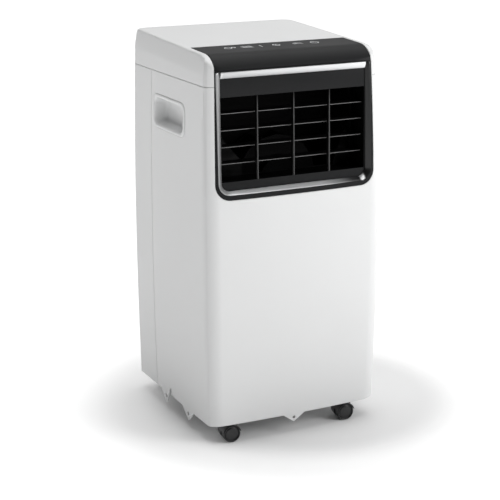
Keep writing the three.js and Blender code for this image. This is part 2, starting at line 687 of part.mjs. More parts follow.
function fanCasing(fan, y0, y1, left, right, top) {
  const body = extrude(scrollShape(fan, 0, left, right, top), 'y', y0, y1);
  const hollow = extrude(scrollShape(fan, 2, left, right, top - 2), 'y', y0 + 2, y1 - 2);
  const inlet = bar([fan.x, y1 - 5, fan.z], [fan.x, y1 + 5, fan.z], fan.r - 12, 20);
  return cut(body, hollow, inlet);
}

function upperCasing() {
  const casing = fanCasing(UPPER_FAN, -104.5, -24, -144, 144, 632);
  return cut(casing, box(-136, 136, -120, -98, ductLow + 2, ductHigh - 2));
}

// The throat's back wall leads into the round hose collar.
function lowerCasing() {
  const casing = fanCasing(LOWER_FAN, 30, 104, -92, 92, 347);
  const duct = turned([[66, 100], [70, 100], [70, 119.5], [66, 119.5], [66, 100]], 0, COLLAR.z, 24);
  const mouth = bar([0, 98, COLLAR.z], [0, 125, COLLAR.z], 66, 24);
  return cut(join(casing, duct), mouth);
}

// A wheel with a coned back plate, blades round the rim and a front ring.
function fanWheel(fan, shaftTip, blades = 10) {
  const { x, z, r, low, high } = fan;
  const back = turned([
    [0, high - 22], [9, high - 22], [9, high - 34], [44, low + 2], [r, low + 2], [r, low],
    [43, low], [7, high - 37], [2.9, high - 37], [2.9, shaftTip], [0, shaftTip], [0, high - 22],
  ], x, z, 16);
  const ring = turned([
    [r - 14, high - 3], [r, high - 3], [r, high], [r - 14, high], [r - 14, high - 3],
  ], x, z, 16);
  const vanes = Array.from({ length: blades }, (_, i) => {
    const vane = box(r - 14, r - 1, low + 1, high - 1, -0.7, 0.7);
    return vane.rotate([0, 32, 0]).rotate([0, (360 * i) / blades, 0]).translate([x, 0, z]);
  });
  return join(back, ring, ...vanes);
}

function fanMotor(fan, face) {
  const { x, z, low, high } = fan;
  const front = low + 6;
  return cut(
    join(
      bar([x, face, z], [x, front, z], 32, 24),
      bar([x, front - 1, z], [x, front + 8, z], 12, 16),
      bar([x, face, z], [x, face + 3, z], 38, 24),
    ),
    bar([x, face + 5, z], [x, high, z], 3.4, 12),
  );
}

function compressor() {
  const { x, y, r, low, high } = COMPRESSOR;
  const can = spun([
    [0, low], [r - 12, low], [r, low + 14], [r, high - 26], [r - 14, high - 8], [16, high],
    [0, high], [0, low],
  ], x, y, 20);
  const feet = compressorFeet.map(({ fx, fy }) => {
    const dx = fx - x;
    const dy = fy - y;
    const tab = box(0, Math.hypot(dx, dy) + 9, -8, 8, low, low + 3);
    return tab.rotate([0, 0, THREE.MathUtils.radToDeg(Math.atan2(dy, dx))]).translate([x, y, 0]);
  });
  const bores = compressorFeet.map(({ fx, fy }) => bar([fx, fy, low - 5], [fx, fy, low + 8], 4.3, 12));
  return cut(join(can, ...feet), ...bores);
}

const compressorFeet = [90, 210, 330].map((degrees) => {
  const angle = THREE.MathUtils.degToRad(degrees);
  const { x, y, footRing } = COMPRESSOR;
  return { fx: x + footRing * Math.cos(angle), fy: y + footRing * Math.sin(angle) };
});

const rubberFoot = ({ fx, fy }) => spun([
  [0, FLOOR + 1.4], [11, FLOOR + 1.4], [11, COMPRESSOR.low - GAP], [4, COMPRESSOR.low - GAP],
  [4, COMPRESSOR.low + 3.4], [7, COMPRESSOR.low + 3.4], [7, COMPRESSOR.low + 7],
  [0, COMPRESSOR.low + 7], [0, FLOOR + 1.4],
], fx, fy, 10);

function accumulator() {
  const { x, y, r, low, high } = ACCUMULATOR;
  return spun([
    [0, low], [r - 6, low + 4], [r, low + 14], [r, high - 18], [r - 6, high - 6], [5, high],
    [0, high], [0, low],
  ], x, y, 20);
}

function deck() {
  const tray = cut(
    solid(warp(prism(planShape(WALL + 1), 'z', DECK_Z, DECK_Z + 9), swell)),
    solid(warp(prism(planShape(WALL + 3.5), 'z', DECK_Z + 3, DECK_Z + 20), swell)),
  );
  const pipeWays = [[137, 20], [112, 8]].map(([x, y]) => (
    bar([x, y, DECK_Z - 5], [x, y, DECK_Z + 20], 8, 12)
  ));
  return cut(tray, ...pipeWays, box(-20, 20, -150, -130, DECK_Z - 5, DECK_Z + 20));
}

// ---- Naming every piece -------------------------------------------------------------
place('top_cover', topCover(), white);
place('front_shell', frontShell(), white);
place('rear_shell', rearShell(), white);
place('control_fascia', controlFascia(), graphite);
place('control_board', box(-110, 110, -100, -72, 676, 679), circuit);
place('outlet_frame', outletFrame(), graphite);
place('outlet_trim', outletTrim(), silver);
place('outlet_grid', outletGrid(), black);
for (let row = 0; row < BLADES; row += 1) place(`louvre_blade_${row + 1}`, louvreBlade(row), black);
place('louvre_link', louvreLink(), black);
place('louvre_motor', louvreMotor(), paleGrey);
place('grip_right', gripCup(), white);
place('grip_left', mirrored(gripCup()), white);

place('base_pan', basePan(), white);
for (const spot of casterSpots) {
  place(`caster_fork_${spot.name}`, onCaster(forkShape(), spot), black);
  place(`caster_wheels_${spot.name}`, onCaster(wheelPair(), spot), black);
}

place('upper_intake_grille', grille(INTAKE, 17, 2), white);
place('upper_filter', filter(INTAKE, 3), netting);
place('lower_intake_grille', grille(LOWER_INTAKE, 17, 2), white);
place('lower_filter', filter(LOWER_INTAKE, 2), netting);
place('exhaust_collar', exhaustCollar(), white);
place('upper_drain_spout', drainSpout(DRAINS[0]), natural);
place('upper_drain_plug', drainPlug(DRAINS[0]), rubber);
place('lower_drain_spout', drainSpout(DRAINS[1]), natural);
place('lower_drain_plug', drainPlug(DRAINS[1]), rubber);
place('cord_gland', cordGland(), black);
SCREWS.forEach((spot, i) => place(`rear_screw_${i + 1}`, screw(spot), steel));

place('evaporator_coil', coil(-136, 136, 392, 628), aluminium);
place('condenser_coil', coil(-136, 136, 64, 194), aluminium);
place('drip_deck', deck(), natural);
place('upper_fan_casing', upperCasing(), black);
place('upper_fan_wheel', fanWheel(UPPER_FAN, -88), black);
place('upper_fan_motor', fanMotor(UPPER_FAN, -102), steel);
place('lower_fan_casing', lowerCasing(), natural);
place('lower_fan_wheel', fanWheel(LOWER_FAN, 42), black);
place('lower_fan_motor', fanMotor(LOWER_FAN, 32.4), steel);
place('compressor', compressor(), enamel);
compressorFeet.forEach((spot, i) => place(`compressor_foot_${i + 1}`, rubberFoot(spot), rubber));
place('accumulator', accumulator(), enamel);
place('suction_pipe', tube([
  [146, -100, 244.6], [146, -100, 258], [144, -90, 296], [137, -30, 320], [137, 20, 345],
  [137, 24, 400], [140, 90, 430],
], 4.5, 18), copper);
place('discharge_pipe', tube([
  [70, -62, 268.4], [70, -62, 284], [78, -54, 304], [112, -20, 310], [130, 60, 290], [146, 120, 210],
], 3.5, 16), copper);
place('electrical_box', cut(
  box(-152, -52, -132, -54, 82, 262),
  box(-149.5, -54.5, -129.5, -50, 84.5, 259.5),
), steel);
place('run_capacitor', bar([-100, -90, 100], [-100, -90, 170], 20, 24), aluminium);
place('main_board', box(-146, -140, -126, -60, 92, 252), circuit);

export default unit;
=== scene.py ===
import math

import bmesh
import bpy
import numpy as np
from mathutils import Matrix, Vector


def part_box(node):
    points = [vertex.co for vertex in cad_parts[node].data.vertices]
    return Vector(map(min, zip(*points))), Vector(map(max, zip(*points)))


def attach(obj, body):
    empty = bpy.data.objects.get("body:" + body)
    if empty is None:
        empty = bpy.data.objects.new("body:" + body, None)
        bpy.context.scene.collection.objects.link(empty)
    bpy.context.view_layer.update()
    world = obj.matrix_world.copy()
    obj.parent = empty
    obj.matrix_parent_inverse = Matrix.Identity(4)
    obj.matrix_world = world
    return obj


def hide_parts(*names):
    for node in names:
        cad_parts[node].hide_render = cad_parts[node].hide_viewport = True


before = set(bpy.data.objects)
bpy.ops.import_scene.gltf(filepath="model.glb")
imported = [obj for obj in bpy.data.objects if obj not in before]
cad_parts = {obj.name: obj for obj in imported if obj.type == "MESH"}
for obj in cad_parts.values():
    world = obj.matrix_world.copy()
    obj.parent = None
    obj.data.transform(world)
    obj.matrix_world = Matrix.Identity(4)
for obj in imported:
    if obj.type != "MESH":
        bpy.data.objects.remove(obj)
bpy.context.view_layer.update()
MM = 0.001


def node_box(name):
    """A CAD node's lowest and highest corners, in millimetres."""
    low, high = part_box(name)
    return np.array(low) / MM, np.array(high) / MM


# ---- Dimensions, in millimetres ---------------------------------------------------------
SHELL_LOW, SHELL_HIGH = node_box("front_shell")
REAR_LOW, REAR_HIGH = node_box("rear_shell")
LID_LOW, LID_HIGH = node_box("top_cover")
HALF = SHELL_HIGH[0]
FRONT = SHELL_LOW[1]
BACK = REAR_HIGH[1]
FLOOR = REAR_LOW[2]
SPLIT_Y = REAR_LOW[1]
SEAM_Z = LID_LOW[2]
HEIGHT = LID_HIGH[2]
WALL = 2.6
FIRM_R, SOFT_R, REAR_R = 7, 36, 25             # a front corner's two turns, and a rear corner
FIRM_TURN = math.radians(50)                   # how far round the firm one goes
BARREL, BARREL_Z = 5e-5, 340                   # the flanks' curvature, and where they are widest
LEAN, LEAN_Z = 8.3e-5, 250                     # the front's, and where it is foremost
BOW = 6                                        # of the front, from corner to middle
TOP_SLOPE, LEVEL_Y = 0.0427, 150               # the lid's fall, and where it starts
FALL_R, FALL_Y, FALL_Z = 45, -119.5, 646.4     # the waterfall from the lid to the front
EDGE_R, REAR_EDGE_R = 3, 5
DRAFT_DROP, DRAFT_LEAN = 32, 4.4               # how the lid's flanks curve in at the top
SEAM_GAP, SEAM_STEP = 0.5, 0.7                 # a seam's width, and the step down beside it

FASCIA_HALF, FASCIA_REAR, FASCIA_LOW, FASCIA_R = 156.5, -60, 446, 28
FASCIA_SEAM = node_box("control_fascia")[0][2]
TRIM_HALF, TRIM_LOW, TRIM_HIGH = 150.5, 454.7, 664.2
TRIM_SIDE, TRIM_BELOW, TRIM_ABOVE = 9.5, 5.6, 11.4         # how broad the bezel is
TRIM_R, TRIM_TOP_R, LIP_R = 22, 6, 15
OPEN_HALF, OPEN_LOW, OPEN_HIGH = 140.5, 475.5, 620.5
PLATE_Y, PLATE_LEAN, PLATE_THICK = -159.5, 0.03, 2.4       # y at the opening's foot
DUCT_WALL, DUCT_BACK = 2.4, -105

BLADE_Y, BLADE_CHORD, BLADE_HALF = -134, 26, 139.9
PIVOT_R, CRANK, CRANK_PIN_R = 2, 17, 1.3
BLADE_ROWS = [OPEN_LOW + (OPEN_HIGH - OPEN_LOW) * row / 5 for row in range(1, 5)]
RIB_PITCH = 70.25

GRIP_LOW, GRIP_HIGH = node_box("grip_right")
GRIP_Y, GRIP_Z = (GRIP_LOW[1] + GRIP_HIGH[1]) / 2, (GRIP_LOW[2] + GRIP_HIGH[2]) / 2
GRIP_SIZE, POCKET_SIZE = (141, 61, 17), (121, 47, 12)      # length, height, corner radius

LUG_R, LUG_HOLE_Z = 3.5, 28
SIDE_LUGS = [(30, 24, 12, 15.5), (-70, 26, 22, 15.5)]      # tip, reach behind, ahead, tip's height
FRONT_LUG = (-4, 21, 21, 21)
NOTCH_Y, NOTCH_HALF, NOTCH_HIGH = 6, 11, 49

INTAKES = {"upper": (124, 404, 622), "lower": (124, 68, 190)}   # half width, low, high
COLLAR_Z, COLLAR_BORE, COLLAR_OUTER = 276, 64, 67.5
DRAINS = {"upper": (-112, 376), "lower": (60, 50)}
CORD_INLET = (128, 50)
SCREWS = [(-150, 606), (150, 606), (-150, 214), (150, 214)]

WHEEL_R, WHEEL_OUT, TRAIL, CASTER_YAW, CASTER_TOP = 16, 17, 7, 84, 33.6
AXLE_R, STEM_R, CROWN_R, SOCKET_R = 2.2, 4.8, 9, 10
CASTERS = {
    "front_left": (-117, -151), "front_right": (117, -151),
    "rear_left": (-117, 132), "rear_right": (117, 132),
}


# ---- Mesh tools --------------------------------------------------------------------------
def solid(points, faces, name="work"):
    """A mesh object from points in millimetres."""
    mesh = bpy.data.meshes.new(name)
    mesh.from_pydata([tuple(p) for p in np.asarray(points, float) * MM], [], faces)
    mesh.update()
    thing = bpy.data.objects.new(name, mesh)
    bpy.context.scene.collection.objects.link(thing)
    return thing


def duplicate(thing):
    copy = thing.copy()
    copy.data = thing.data.copy()
    bpy.context.scene.collection.objects.link(copy)
    return copy


def discard(thing):
    mesh = thing.data
    bpy.data.objects.remove(thing)
    bpy.data.meshes.remove(mesh)


def settle(thing):
    """Makes an object's modifiers part of its mesh."""
    graph = bpy.context.evaluated_depsgraph_get()
    mesh = bpy.data.meshes.new_from_object(thing.evaluated_get(graph))
    old = thing.data
    thing.modifiers.clear()
    thing.data = mesh
    bpy.data.meshes.remove(old)
    return thing


def combine(thing, operation, *tools, keep=False):
    for tool in tools:
        modifier = thing.modifiers.new("join", "BOOLEAN")
        modifier.solver = "MANIFOLD"
        modifier.operation = operation
        modifier.object = tool
        settle(thing)
        if not keep:
            discard(tool)
    return thing


def cut(thing, *tools, keep=False):
    return combine(thing, "DIFFERENCE", *tools, keep=keep)


def join(thing, *tools):
    return combine(thing, "UNION", *tools)


def common(thing, *tools, keep=False):
    return combine(thing, "INTERSECT", *tools, keep=keep)


def stacked(loops, name="work"):
    """A closed skin through loops of points, with a face across each end."""
    loops = [np.asarray(loop, float) for loop in loops]
    count = len(loops[0])
    faces = []
    for row in range(len(loops) - 1):
        for i in range(count):
            k = (i + 1) % count
            low, high = row * count, (row + 1) * count
            faces.append((low + i, low + k, high + k, high + i))
    last = (len(loops) - 1) * count
    faces.append(tuple(range(count - 1, -1, -1)))
    faces.append(tuple(last + i for i in range(count)))
    return outward(solid(np.concatenate(loops), faces, name))


def outward(thing):
    """Turns a closed mesh the right way out."""
    work = bmesh.new()
    work.from_mesh(thing.data)
    if work.calc_volume(signed=True) < 0:
        bmesh.ops.reverse_faces(work, faces=work.faces)
    work.to_mesh(thing.data)
    work.free()
    return thing


def along(axis, outline, depth):
    """Points of an outline at one depth: (y, z) across x, (x, z) across y, (x, y) across z."""
    u, v = np.asarray(outline, float).T
    w = np.full(len(u), float(depth))
    return np.stack({"x": (w, u, v), "y": (u, w, v), "z": (u, v, w)}[axis], axis=1)


def prism(outline, axis, *depths):
    return stacked([along(axis, outline, depth) for depth in depths])


def box(x0, x1, y0, y1, z0, z1):
    return prism([(x0, y0), (x1, y0), (x1, y1), (x0, y1)], "z", z0, z1)


def prisms(outlines, axis, start, end):
    """Several prisms as one mesh."""
    points, faces = [], []
    for outline in outlines:
        count, first = len(outline), len(points)
        points += [*along(axis, outline, start), *along(axis, outline, end)]
        faces.append(tuple(range(first + count - 1, first - 1, -1)))
        faces.append(tuple(range(first + count, first + 2 * count)))
        for i in range(count):
            k = (i + 1) % count
            faces.append((first + i, first + k, first + count + k, first + count + i))
    return outward(solid(points, faces))


def arc(u, v, radius, start, end, steps):
    turns = np.radians(np.linspace(start, end, steps + 1))
    return [(u + radius * math.cos(t), v + radius * math.sin(t)) for t in turns]


def rounded(left, right, low, high, radius, top_radius=None, steps=8):
    top = radius if top_radius is None else top_radius
    return (
        arc(right - radius, low + radius, radius, -90, 0, steps)
        + arc(right - top, high - top, top, 0, 90, steps)
        + arc(left + top, high - top, top, 90, 180, steps)
        + arc(left + radius, low + radius, radius, 180, 270, steps)
    )


def circle(u, v, radius, steps=48):
    return arc(u, v, radius, 0, 360, steps)[:-1]


def lathe(profile, centre, axis="y", steps=64):
    """A closed profile of (radius, depth) points turned about an axis through centre."""
    profile = np.asarray(profile, float)
    turns = np.linspace(0, 2 * math.pi, steps, endpoint=False)
    across, up, deep = {"y": (0, 2, 1), "z": (0, 1, 2), "x": (1, 2, 0)}[axis]
    rings = np.zeros((steps, len(profile), 3))
    rings[:, :, across] = np.outer(np.cos(turns), profile[:, 0])
    rings[:, :, up] = np.outer(np.sin(turns), profile[:, 0])
    rings[:, :, deep] = profile[:, 1]
    points = rings.reshape(-1, 3) + np.asarray(centre, float)
    count = len(profile)
    faces = []
    for i in range(steps):
        k = (i + 1) % steps
        for j in range(count):
            m = (j + 1) % count
            faces.append((i * count + j, i * count + m, k * count + m, k * count + j))
    thing = solid(points, faces)
    work = bmesh.new()
    work.from_mesh(thing.data)
    bmesh.ops.remove_doubles(work, verts=work.verts, dist=1e-6)
    bmesh.ops.dissolve_degenerate(work, edges=work.edges, dist=1e-7)
    work.to_mesh(thing.data)
    work.free()
    return outward(thing)


def softened(thing, width, segments=3, angle=35):
    """Rounds an object's edges by width millimetres."""
    modifier = thing.modifiers.new("round", "BEVEL")
    modifier.width = width * MM
    modifier.segments = segments
    modifier.limit_method = "ANGLE"
    modifier.angle_limit = math.radians(angle)
    modifier.harden_normals = False
    return settle(thing)


def finish_piece(thing, name, body, slot, material, *nodes, sharp=32):
    """Names a finished piece, gives it its looks and its body, and the CAD nodes it stands for."""
    thing.name = name
    thing.data.name = name
    thing.data.materials.clear()
    thing.data.materials.append(material)
    thing.data.shade_smooth()
    thing.data.set_sharp_from_angle(angle=math.radians(sharp))
    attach(thing, body)
    if nodes:
        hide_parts(*nodes)
    return thing


# ---- The cabinet's outer form --------------------------------------------------------------
def barrel_at(z):
    return 1 - BARREL * (z - BARREL_Z) ** 2 / HALF


def flank_pull(y, z):
    """How far the lid's flanks have curved inwards on their way up to its edge."""
    below = HEIGHT + TOP_SLOPE * (y - LEVEL_Y) - z
    return DRAFT_LEAN * np.clip(1 - below / DRAFT_DROP, 0, 1) ** 1.2


def bulge(across, z):
    """How far the front stands back at full reach, for its bow and its lean."""
    return BOW * (across / HALF) ** 2 + LEAN * (z - LEAN_Z) ** 2


def front_corner(half, front, soft, firm):
    """The middles of a front corner's soft turn and of the firm edge beside it."""
    reach = soft - firm
    firm_y = front + soft - reach * math.sin(FIRM_TURN)
    return (half - firm - reach * math.cos(FIRM_TURN), front + soft), (half - firm, firm_y)


def front_distance(across, y):
    """How far a point is outside the front half of the upright walls, before they swell."""
    (soft_x, soft_y), (firm_x, firm_y) = front_corner(HALF, FRONT, SOFT_R, FIRM_R)
    u, v = across - soft_x, soft_y - y
    firm = np.hypot(np.maximum(across - firm_x, 0), np.minimum(y - firm_y, 0)) - FIRM_R
    in_soft = u * math.sin(FIRM_TURN) < v * math.cos(FIRM_TURN)
    turned = np.where(in_soft, np.hypot(u, v) - SOFT_R, firm)
    return np.where(u < 0, FRONT - y, turned)


def wall_distance(x, y, z):
    """Roughly how far a point is outside the upright walls."""
    across = np.abs(x) / barrel_at(z) + flank_pull(y, z)
    flat = y
    for _ in range(5):
        reach = np.maximum(0, (SPLIT_Y - flat) / (SPLIT_Y - FRONT))
        flat = y - reach**2 * bulge(across, z)
    u, v = across - HALF + REAR_R, flat - BACK + REAR_R
    rear = np.minimum(np.maximum(u, v), 0) + np.hypot(np.maximum(u, 0), np.maximum(v, 0)) - REAR_R
    return np.where(flat > (FRONT + BACK) / 2, rear, front_distance(across, flat))


def lid_height(y):
    return HEIGHT + TOP_SLOPE * np.minimum(y - LEVEL_Y, 0)


def lid_distance(y, z):
    """Roughly how far a point is outside the sloping lid and its waterfall front."""
    plane = z - lid_height(y)
    fall = np.hypot(y - FALL_Y, z - FALL_Z) - FALL_R
    below = FALL_Y - y - FALL_R - (FALL_Z - z) * 0.5
    ahead = np.where(z > FALL_Z, fall, below)
    return np.where(y < FALL_Y, ahead, plane)


def edge_radius(x, y):
    """The lid's edge: a soft rear edge, firm flanks, and none where the front falls away."""
    rear = np.clip((y - 120) / 40, 0, 1)
    radius = EDGE_R + (REAR_EDGE_R - EDGE_R) * rear
    centre = np.clip((158 - np.abs(x)) / 30, 0, 1) * np.clip((FALL_Y + 30 - y) / 30, 0, 1)
    return radius * (1 - centre) + 0.6 * centre


def cabinet_distance(p):
    x, y, z = p[..., 0], p[..., 1], p[..., 2]
    wall, lid = wall_distance(x, y, z), lid_distance(y, z)
    r = edge_radius(x, y)
    corner = np.hypot(np.maximum(wall + r, 0), np.maximum(lid + r, 0))
    return np.minimum(np.maximum(wall, lid) + r, 0) + corner - r


def plan_loop(half, front, back, soft, firm, rear_r, density=1.0):
    """An upright rounded rectangle, as (x, y) points, with its longer runs divided."""
    def run(start, end, parts):
        parts = max(2, int(parts * density))
        return [tuple(np.add(start, np.subtract(end, start) * i / parts)) for i in range(1, parts)]

    soft_middle, firm_middle = front_corner(half, front, soft, firm)
    fine, turn = max(3, int(12 * density)), max(4, int(14 * density))
    firm_start = -math.degrees(FIRM_TURN)
    right = arc(*soft_middle, soft, -90, firm_start, fine)
    right += arc(*firm_middle, firm, firm_start, 0, fine)[1:]
    corners = [
        right,
        arc(half - rear_r, back - rear_r, rear_r, 0, 90, turn),
        arc(rear_r - half, back - rear_r, rear_r, 90, 180, turn),
        [(-x, y) for x, y in reversed(right)],
    ]
    loop = []
    for i, parts in enumerate((30, 18, 30, 36)):
        loop += corners[i]
        loop += run(corners[i][-1], corners[(i + 1) % 4][0], parts)
    return np.array(loop)


def crown_turns(density):
    """Directions from level to upright, closest together where the lid's edge is."""
    parts = [(0, 0.45, 12), (0.45, 0.64, 26), (0.64, 1, 12)]
    turns = [np.linspace(a, b, int(n * density) + 1)[1:] for a, b, n in parts]
    return np.concatenate(turns) * math.pi / 2


def cabinet(inset, low, density=1.0):
    """The cabinet's closed outer form, inset all round, on a smooth grid of faces.

    Lines go out from a core deep inside it, and each ends where it meets the form."""
    deep, core_r, core_bow, rows, farthest = FALL_R, 9, 13, 72, 110.0
    rim = plan_loop(HALF, FRONT, BACK, SOFT_R, FIRM_R, REAR_R, density)
    core = plan_loop(HALF - deep, FRONT + deep, BACK - deep, core_r, core_r, core_r, density)
    reach = np.maximum(0, (SPLIT_Y - core[:, 1]) / (SPLIT_Y - FRONT - deep))
    core[:, 1] += reach ** 2 * core_bow
    heading = rim - core
    heading /= np.linalg.norm(heading, axis=1)[:, None]
    top = lid_height(core[:, 1]) - FALL_R
    starts, ways = [], []
    for t in np.linspace(0, 1, int(rows * density) + 1):
        starts.append(np.column_stack([core, low + (top - low) * t]))
        ways.append(np.column_stack([heading, np.zeros(len(rim))]))
    for t in crown_turns(density):
        starts.append(np.column_stack([core, top]))
        ways.append(np.column_stack([heading * math.cos(t), np.full(len(rim), math.sin(t))]))
    starts, ways = np.array(starts), np.array(ways)
    near = np.zeros(starts.shape[:2])
    far = np.full(starts.shape[:2], farthest)
    for _ in range(30):
        half_way = (near + far) / 2
        outside = cabinet_distance(starts + ways * half_way[..., None]) > -inset
        far = np.where(outside, half_way, far)
        near = np.where(outside, near, half_way)
    return stacked(starts + ways * near[..., None])


# ---- Materials ------------------------------------------------------------------------------
def shader(name, roughness, metallic=0.0, coat=0.0, coat_roughness=0.1, specular=0.5):
    """A new node material and its principled shader."""
    material = bpy.data.materials.new(name)
    material.use_nodes = True
    surface = material.node_tree.nodes["Principled BSDF"]
    surface.inputs["Roughness"].default_value = roughness
    surface.inputs["Metallic"].default_value = metallic
    surface.inputs["Coat Weight"].default_value = coat
    surface.inputs["Coat Roughness"].default_value = coat_roughness
    surface.inputs["Specular IOR Level"].default_value = specular
    return material, surface


def add_node(material, kind, **settings):
    node = material.node_tree.nodes.new(kind)
    for key, value in settings.items():
        setattr(node, key, value)
    return node


def link(material, source, target):
    material.node_tree.links.new(source, target)


def noise(material, scale, detail=2.0, stretch=(1, 1, 1)):
    """A noise over the object's own coordinates, with scale in features per metre."""
    place = add_node(material, "ShaderNodeTexCoord")
    mapping = add_node(material, "ShaderNodeMapping")
    mapping.inputs["Scale"].default_value = stretch
    texture = add_node(material, "ShaderNodeTexNoise")
    texture.inputs["Scale"].default_value = scale
    texture.inputs["Detail"].default_value = detail
    link(material, place.outputs["Object"], mapping.inputs["Vector"])
    link(material, mapping.outputs["Vector"], texture.inputs["Vector"])
    return texture.outputs["Fac"]


def spread(material, source, low, high):
    """Maps the middle of a noise to the range from low to high."""
    node = add_node(material, "ShaderNodeMapRange")
    node.inputs["From Min"].default_value = 0.3
    node.inputs["From Max"].default_value = 0.7
    node.inputs["To Min"].default_value = low
    node.inputs["To Max"].default_value = high
    link(material, source, node.inputs["Value"])
    return node.outputs["Result"]


def tinted(material, source, dark, light):
    """A colour that drifts between two near tones."""
    ramp = add_node(material, "ShaderNodeValToRGB")
    ramp.color_ramp.elements[0].position = 0.3
    ramp.color_ramp.elements[1].position = 0.7
    ramp.color_ramp.elements[0].color = (*dark, 1)
    ramp.color_ramp.elements[1].color = (*light, 1)
    link(material, source, ramp.inputs["Fac"])
    return ramp.outputs["Color"]


def bumped(material, surface, source, depth, strength=1.0):
    bump = add_node(material, "ShaderNodeBump")
    bump.inputs["Distance"].default_value = depth
    bump.inputs["Strength"].default_value = strength
    link(material, source, bump.inputs["Height"])
    link(material, bump.outputs["Normal"], surface.inputs["Normal"])


def moulded(name, colour, roughness, grain=900, depth=0.00004, drift=0.03, **gloss):
    """Injection-moulded plastic: a spark-eroded grain and a slow drift of tone and gloss."""
    material, surface = shader(name, roughness, **gloss)
    slow = noise(material, 9, 3)
    tone = [tuple(c * (1 + side * drift) for c in colour) for side in (-1, 1)]
    link(material, tinted(material, slow, *tone), surface.inputs["Base Color"])
    link(material, spread(material, slow, roughness - 0.04, roughness + 0.04),
         surface.inputs["Roughness"])
    bumped(material, surface, noise(material, grain, 2), depth)
    return material


def metal(name, colour, roughness, stretch=(1, 1, 1), depth=0.00002):
    """Bare metal with a fine directional grain."""
    material, surface = shader(name, roughness, metallic=1.0)
    fine = noise(material, 700, 4, stretch)
    tone = [tuple(c * k for c in colour) for k in (0.88, 1.06)]
    link(material, tinted(material, noise(material, 30, 3), *tone), surface.inputs["Base Color"])
    link(material, spread(material, fine, roughness - 0.08, roughness + 0.1),
         surface.inputs["Roughness"])
    bumped(material, surface, fine, depth)
    return material


SHELL = moulded("shell_plastic", (0.775, 0.78, 0.78), 0.42, drift=0.008)
FASCIA = moulded("fascia_plastic", (0.0145, 0.0148, 0.0155), 0.42, grain=1400,
                depth=0.00001, specular=0.1)
DUCT = moulded("duct_plastic", (0.0015, 0.0015, 0.0016), 0.7, specular=0.08)
BLACK = moulded("louvre_plastic", (0.010, 0.010, 0.011), 0.42)
CASTER_BLACK = moulded("caster_plastic", (0.013, 0.013, 0.014), 0.38, coat=0.15)
PALE = moulded("pale_plastic", (0.62, 0.63, 0.64), 0.5)
NATURAL = moulded("natural_plastic", (0.46, 0.46, 0.43), 0.6)
RUBBER = moulded("soft_rubber", (0.018, 0.018, 0.018), 0.8, grain=500, depth=0.0001)
ENAMEL = moulded("black_enamel", (0.012, 0.012, 0.013), 0.3, grain=250, depth=0.0001, coat=0.4)
NETTING = moulded("filter_net", (0.06, 0.065, 0.07), 0.75)
CIRCUIT = moulded("circuit_board", (0.02, 0.11, 0.05), 0.4, grain=260, depth=0.0003, drift=0.25)
PRINT = moulded("printed_mark", (0.85, 0.86, 0.87), 0.5, drift=0.01)
ALUMINIUM = metal("fin_aluminium", (0.62, 0.64, 0.66), 0.38, (14, 1, 1))
STEEL = metal("zinc_steel", (0.56, 0.57, 0.58), 0.34, (1, 1, 6))
COPPER = metal("copper_tube", (0.72, 0.36, 0.22), 0.3, (1, 1, 5))


def plating_with_painted_light(name, *stops):
    """Satin plating along the bezel, its tone painted lighter and darker along x as painted
    highlights and painted shade. Each stop is (x in millimetres, painted brightness from 0 to 1).
    """
    material, surface = shader(name, 0.3, metallic=0.45, coat=0.1)
    place = add_node(material, "ShaderNodeTexCoord")
    parts = add_node(material, "ShaderNodeSeparateXYZ")
    link(material, place.outputs["Object"], parts.inputs["Vector"])
    along_x = add_node(material, "ShaderNodeMapRange")
    along_x.inputs["From Min"].default_value = -TRIM_HALF * MM
    along_x.inputs["From Max"].default_value = TRIM_HALF * MM
    link(material, parts.outputs["X"], along_x.inputs["Value"])
    ramp = add_node(material, "ShaderNodeValToRGB")
    elements = ramp.color_ramp.elements
    while len(elements) < len(stops):
        elements.new(0.5)
    for element, (x, painted_brightness) in zip(elements, stops):
        element.position = (x + TRIM_HALF) / (2 * TRIM_HALF)
        tone = 0.02 + 0.78 * painted_brightness
        element.color = (tone, tone * 1.01, tone * 1.02, 1)
    link(material, along_x.outputs["Result"], ramp.inputs["Fac"])
    link(material, ramp.outputs["Color"], surface.inputs["Base Color"])
    bumped(material, surface, noise(material, 500, 2), 0.00001)
    return material


# The stops paint highlights on the bars and at the corners, and paint the right strip and the right
# end of the lower bar dark as painted shade.
BEZEL_TOP_PAINTED_LIGHT = plating_with_painted_light("bezel_top_plating_painted_light", (-141, 1), (-136, 0.62), (-60, 0.72), (136, 0.85), (140, 1))
BEZEL_SIDES_PAINTED_LIGHT = plating_with_painted_light("bezel_side_plating_painted_light", (-144, 0.34), (-134, 0.5), (-124, 1), (50, 1),
                     (112, 0.05), (128, 0.0), (131, 1), (136, 1), (139, 0.0))


def with_painted_edge_highlight(name, edge_y, painted_highlight_tone):
    """Black plastic whose front edge, ahead of edge_y, is painted a lighter satin grey as a painted
    highlight.
    """
    material, surface = shader(name, 0.5, specular=0.12)
    place = add_node(material, "ShaderNodeTexCoord")
    parts = add_node(material, "ShaderNodeSeparateXYZ")
    link(material, place.outputs["Object"], parts.inputs["Vector"])
    ahead = add_node(material, "ShaderNodeMapRange")
    ahead.inputs["From Min"].default_value = (edge_y + 0.4) * MM
    ahead.inputs["From Max"].default_value = (edge_y - 0.4) * MM
    link(material, parts.outputs["Y"], ahead.inputs["Value"])
    ramp = add_node(material, "ShaderNodeValToRGB")
    ramp.color_ramp.elements[0].color = (0.0015, 0.0015, 0.0015, 1)
    ramp.color_ramp.elements[1].color = (painted_highlight_tone, painted_highlight_tone, painted_highlight_tone, 1)
    link(material, ahead.outputs["Result"], ramp.inputs["Fac"])
    link(material, ramp.outputs["Color"], surface.inputs["Base Color"])
    bumped(material, surface, noise(material, 900, 2), 0.00003)
    return material


